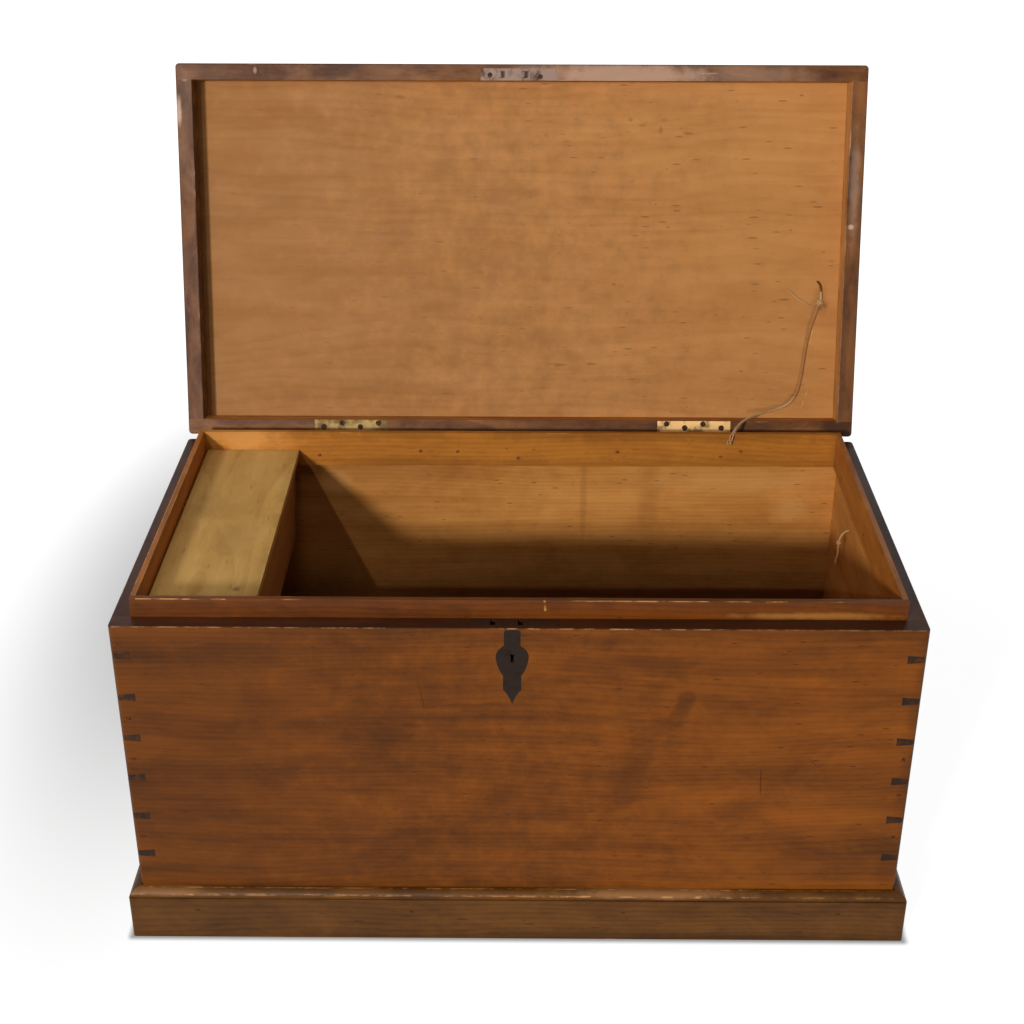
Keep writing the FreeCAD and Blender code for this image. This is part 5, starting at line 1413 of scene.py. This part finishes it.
SIDES = ("left", "right")
CARCASS_SCREWS = ["lock_screws"]
CARCASS_SCREWS += ["handle_screws_" + side for side in SIDES]
CARCASS_SCREWS += ["hinge_screws_carcass_" + side for side in SIDES]
LID_SCREWS = ["striker_screws"] + ["hinge_screws_lid_" + side for side in SIDES]
FASTENERS = (
    ("inside_nails", "carcass", ["lip_nails", "bottom_nails"], cut_nails, "rusty_iron"),
    ("outside_nails", "carcass", ["dovetail_nails", "plinth_nails"], cut_nails, "stained_nail"),
    ("lid_cut_nails", "lid", ["lid_nails"], cut_nails, "stained_nail"),
    ("carcass_screws", "carcass", CARCASS_SCREWS, slotted_screws, "screw_iron"),
    ("lid_screws", "lid", LID_SCREWS, slotted_screws, "screw_iron"),
)
for name, body, replaced, tree, metal in FASTENERS:
    heads = heads_in(replaced)
    piece = grow(name, heads, tree, metals[metal])
    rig.ride(piece, body)
    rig.replaces(piece, *replaced)
    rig.slot(piece, "iron")
    print(name, "-", len(heads), "of them,", len(piece.data.polygons), "faces")

# %% [markdown]
# ## Floor and light
# The chest stands on a pale sheet. One soft lamp, high at the front left, gives the slanting shadow
# on the inside of the back board, and a small hard one beside it draws the sharp line within that
# shadow. A faint spot evens the light on the till's lid, and a faint even light fills the rest. To
# the camera, and in the brass, the sheet and the room are white, apart from a soft grey shadow
# painted on the sheet at the left, and the sheet keeps the chest's shadow. A thin dark line, a
# painted shadow, follows the foot of the plinth, where no light gets under it.

# %% Floor
FLOOR_REACH = 30
FOOTPRINT_MIDDLE = (0, 0.249, 0)
FOOTPRINT_HALF = (0.4735, 0.2625, 1)
# painted shadow: a soft grey patch on the sheet, to the left of the chest
SHADOW_PATCH_MIDDLE = (-0.55, 0.85, 0)
SHADOW_PATCH_HALF = (0.36, 1.10, 1)
SHADOW_PATCH_STRENGTH = 0.5
# painted shadow: a thin dark line round the foot of the plinth
CONTACT_WIDTH = 0.011
CONTACT_STRENGTH = 0.75


def seen(tree):
    """1 for the camera and for reflections, and 0 for the light that falls on the chest."""
    ray = add(tree, "ShaderNodeLightPath").outputs
    return strongest(tree, ray["Is Camera Ray"], ray["Is Glossy Ray"])


mesh = bmesh.new()
bmesh.ops.create_grid(mesh, x_segments=4, y_segments=4, size=FLOOR_REACH)
floor = finish_mesh("floor", mesh, smooth=False)
floor_material, tree, shader = new_material("pale_sheet")
fill(tree, shader, {"Base Color": (0.8, 0.8, 0.8, 1), "Roughness": 0.9})
place = add(tree, "ShaderNodeTexCoord").outputs["Object"]
far = soft_step(tree, vector_calc(tree, "LENGTH", place), 0.9, 2.2)
from_shadow_patch = vector_calc(tree, "SUBTRACT", place, SHADOW_PATCH_MIDDLE)
from_shadow_patch = vector_calc(tree, "LENGTH", vector_calc(tree, "DIVIDE", from_shadow_patch, SHADOW_PATCH_HALF))
shadow_patch = times(tree, soft_step(tree, from_shadow_patch, 1.0, 0.15), SHADOW_PATCH_STRENGTH)
outside = vector_calc(tree, "ABSOLUTE", vector_calc(tree, "SUBTRACT", place, FOOTPRINT_MIDDLE))
outside = vector_calc(tree, "MAXIMUM", vector_calc(tree, "SUBTRACT", outside, FOOTPRINT_HALF), ORIGIN)
outside = vector_calc(tree, "LENGTH", outside)
contact = soft_step(tree, outside, CONTACT_WIDTH, 0.0, 0.0, CONTACT_STRENGTH)
painted_shadow_tint = blend_colour(tree, strongest(tree, shadow_patch, contact), (1, 1, 1, 1), (0, 0, 0, 1))
glow = add(tree, "ShaderNodeEmission", {"Color": painted_shadow_tint, "Strength": 1.2}).outputs[0]
share = times(tree, seen(tree), calc(tree, "MULTIPLY_ADD", far, 0.2, 0.8))
whitened = add(tree, "ShaderNodeMixShader", {0: share, 1: shader.outputs[0], 2: glow}).outputs[0]
fill(tree, tree.nodes["Material Output"], {"Surface": whitened})
floor.data.materials.append(floor_material)
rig.stage(floor)
print("floor:", 2 * FLOOR_REACH, "m wide")

# %% Lamps and world
ROOM_LIGHT = 0.11
TILL_EDGE = Vector((-0.303, 0.25, 0.429))
TILL_MIDDLE = Vector((-0.38, 0.22, 0.43))
SPOT_PLACE = Vector((-0.25, -0.35, 2.6))
SPOT = {"energy": 55, "spot_size": math.radians(19), "spot_blend": 1.0, "shadow_soft_size": 0.2}
# Each disk: its name, the way its light travels, how far off the till's edge it is, size and power.
DISKS = (
    ("soft", (0.38, 1, -0.347), 8.0, {"size": 0.75, "energy": 475}),
    ("hard", (0.235, 1, -0.526), 3.9, {"size": 0.05, "energy": 21}),
)
world = bpy.data.worlds.new("pale_room")
bpy.context.scene.world = world
world.use_nodes = True
tree = world.node_tree
strength = calc(tree, "MULTIPLY_ADD", seen(tree), 1.0 - ROOM_LIGHT, ROOM_LIGHT)
fill(tree, tree.nodes["Background"], {"Strength": strength, "Color": (1, 1, 1, 1)})


def add_lamp(name, kind, place, way, settings):
    """A lamp whose light travels along way."""
    lamp = new_object(name, bpy.data.lights.new(name, kind))
    for setting, value in settings.items():
        setattr(lamp.data, setting, value)
    lamp.location = place
    lamp.rotation_euler = way.to_track_quat("-Z", "Y").to_euler()
    print(name, "lamp at", [round(value, 2) for value in place])


for name, way, distance, settings in DISKS:
    way = Vector(way).normalized()
    add_lamp(name, "AREA", TILL_EDGE - way * distance, way, {"shape": "DISK", **settings})
add_lamp("till", "SPOT", SPOT_PLACE, TILL_MIDDLE - SPOT_PLACE, SPOT)

# %% Write down the chest's size
def plain(corners):
    return [list(map(float, corner)) for corner in corners]


sizes = {"cad": plain(bounds_before), "visual": plain(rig.bounds())}
with open("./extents.json", "w") as size_file:
    json.dump(sizes, size_file)
print("size in metres:", [round(high - low, 3) for low, high in zip(*sizes["visual"])])
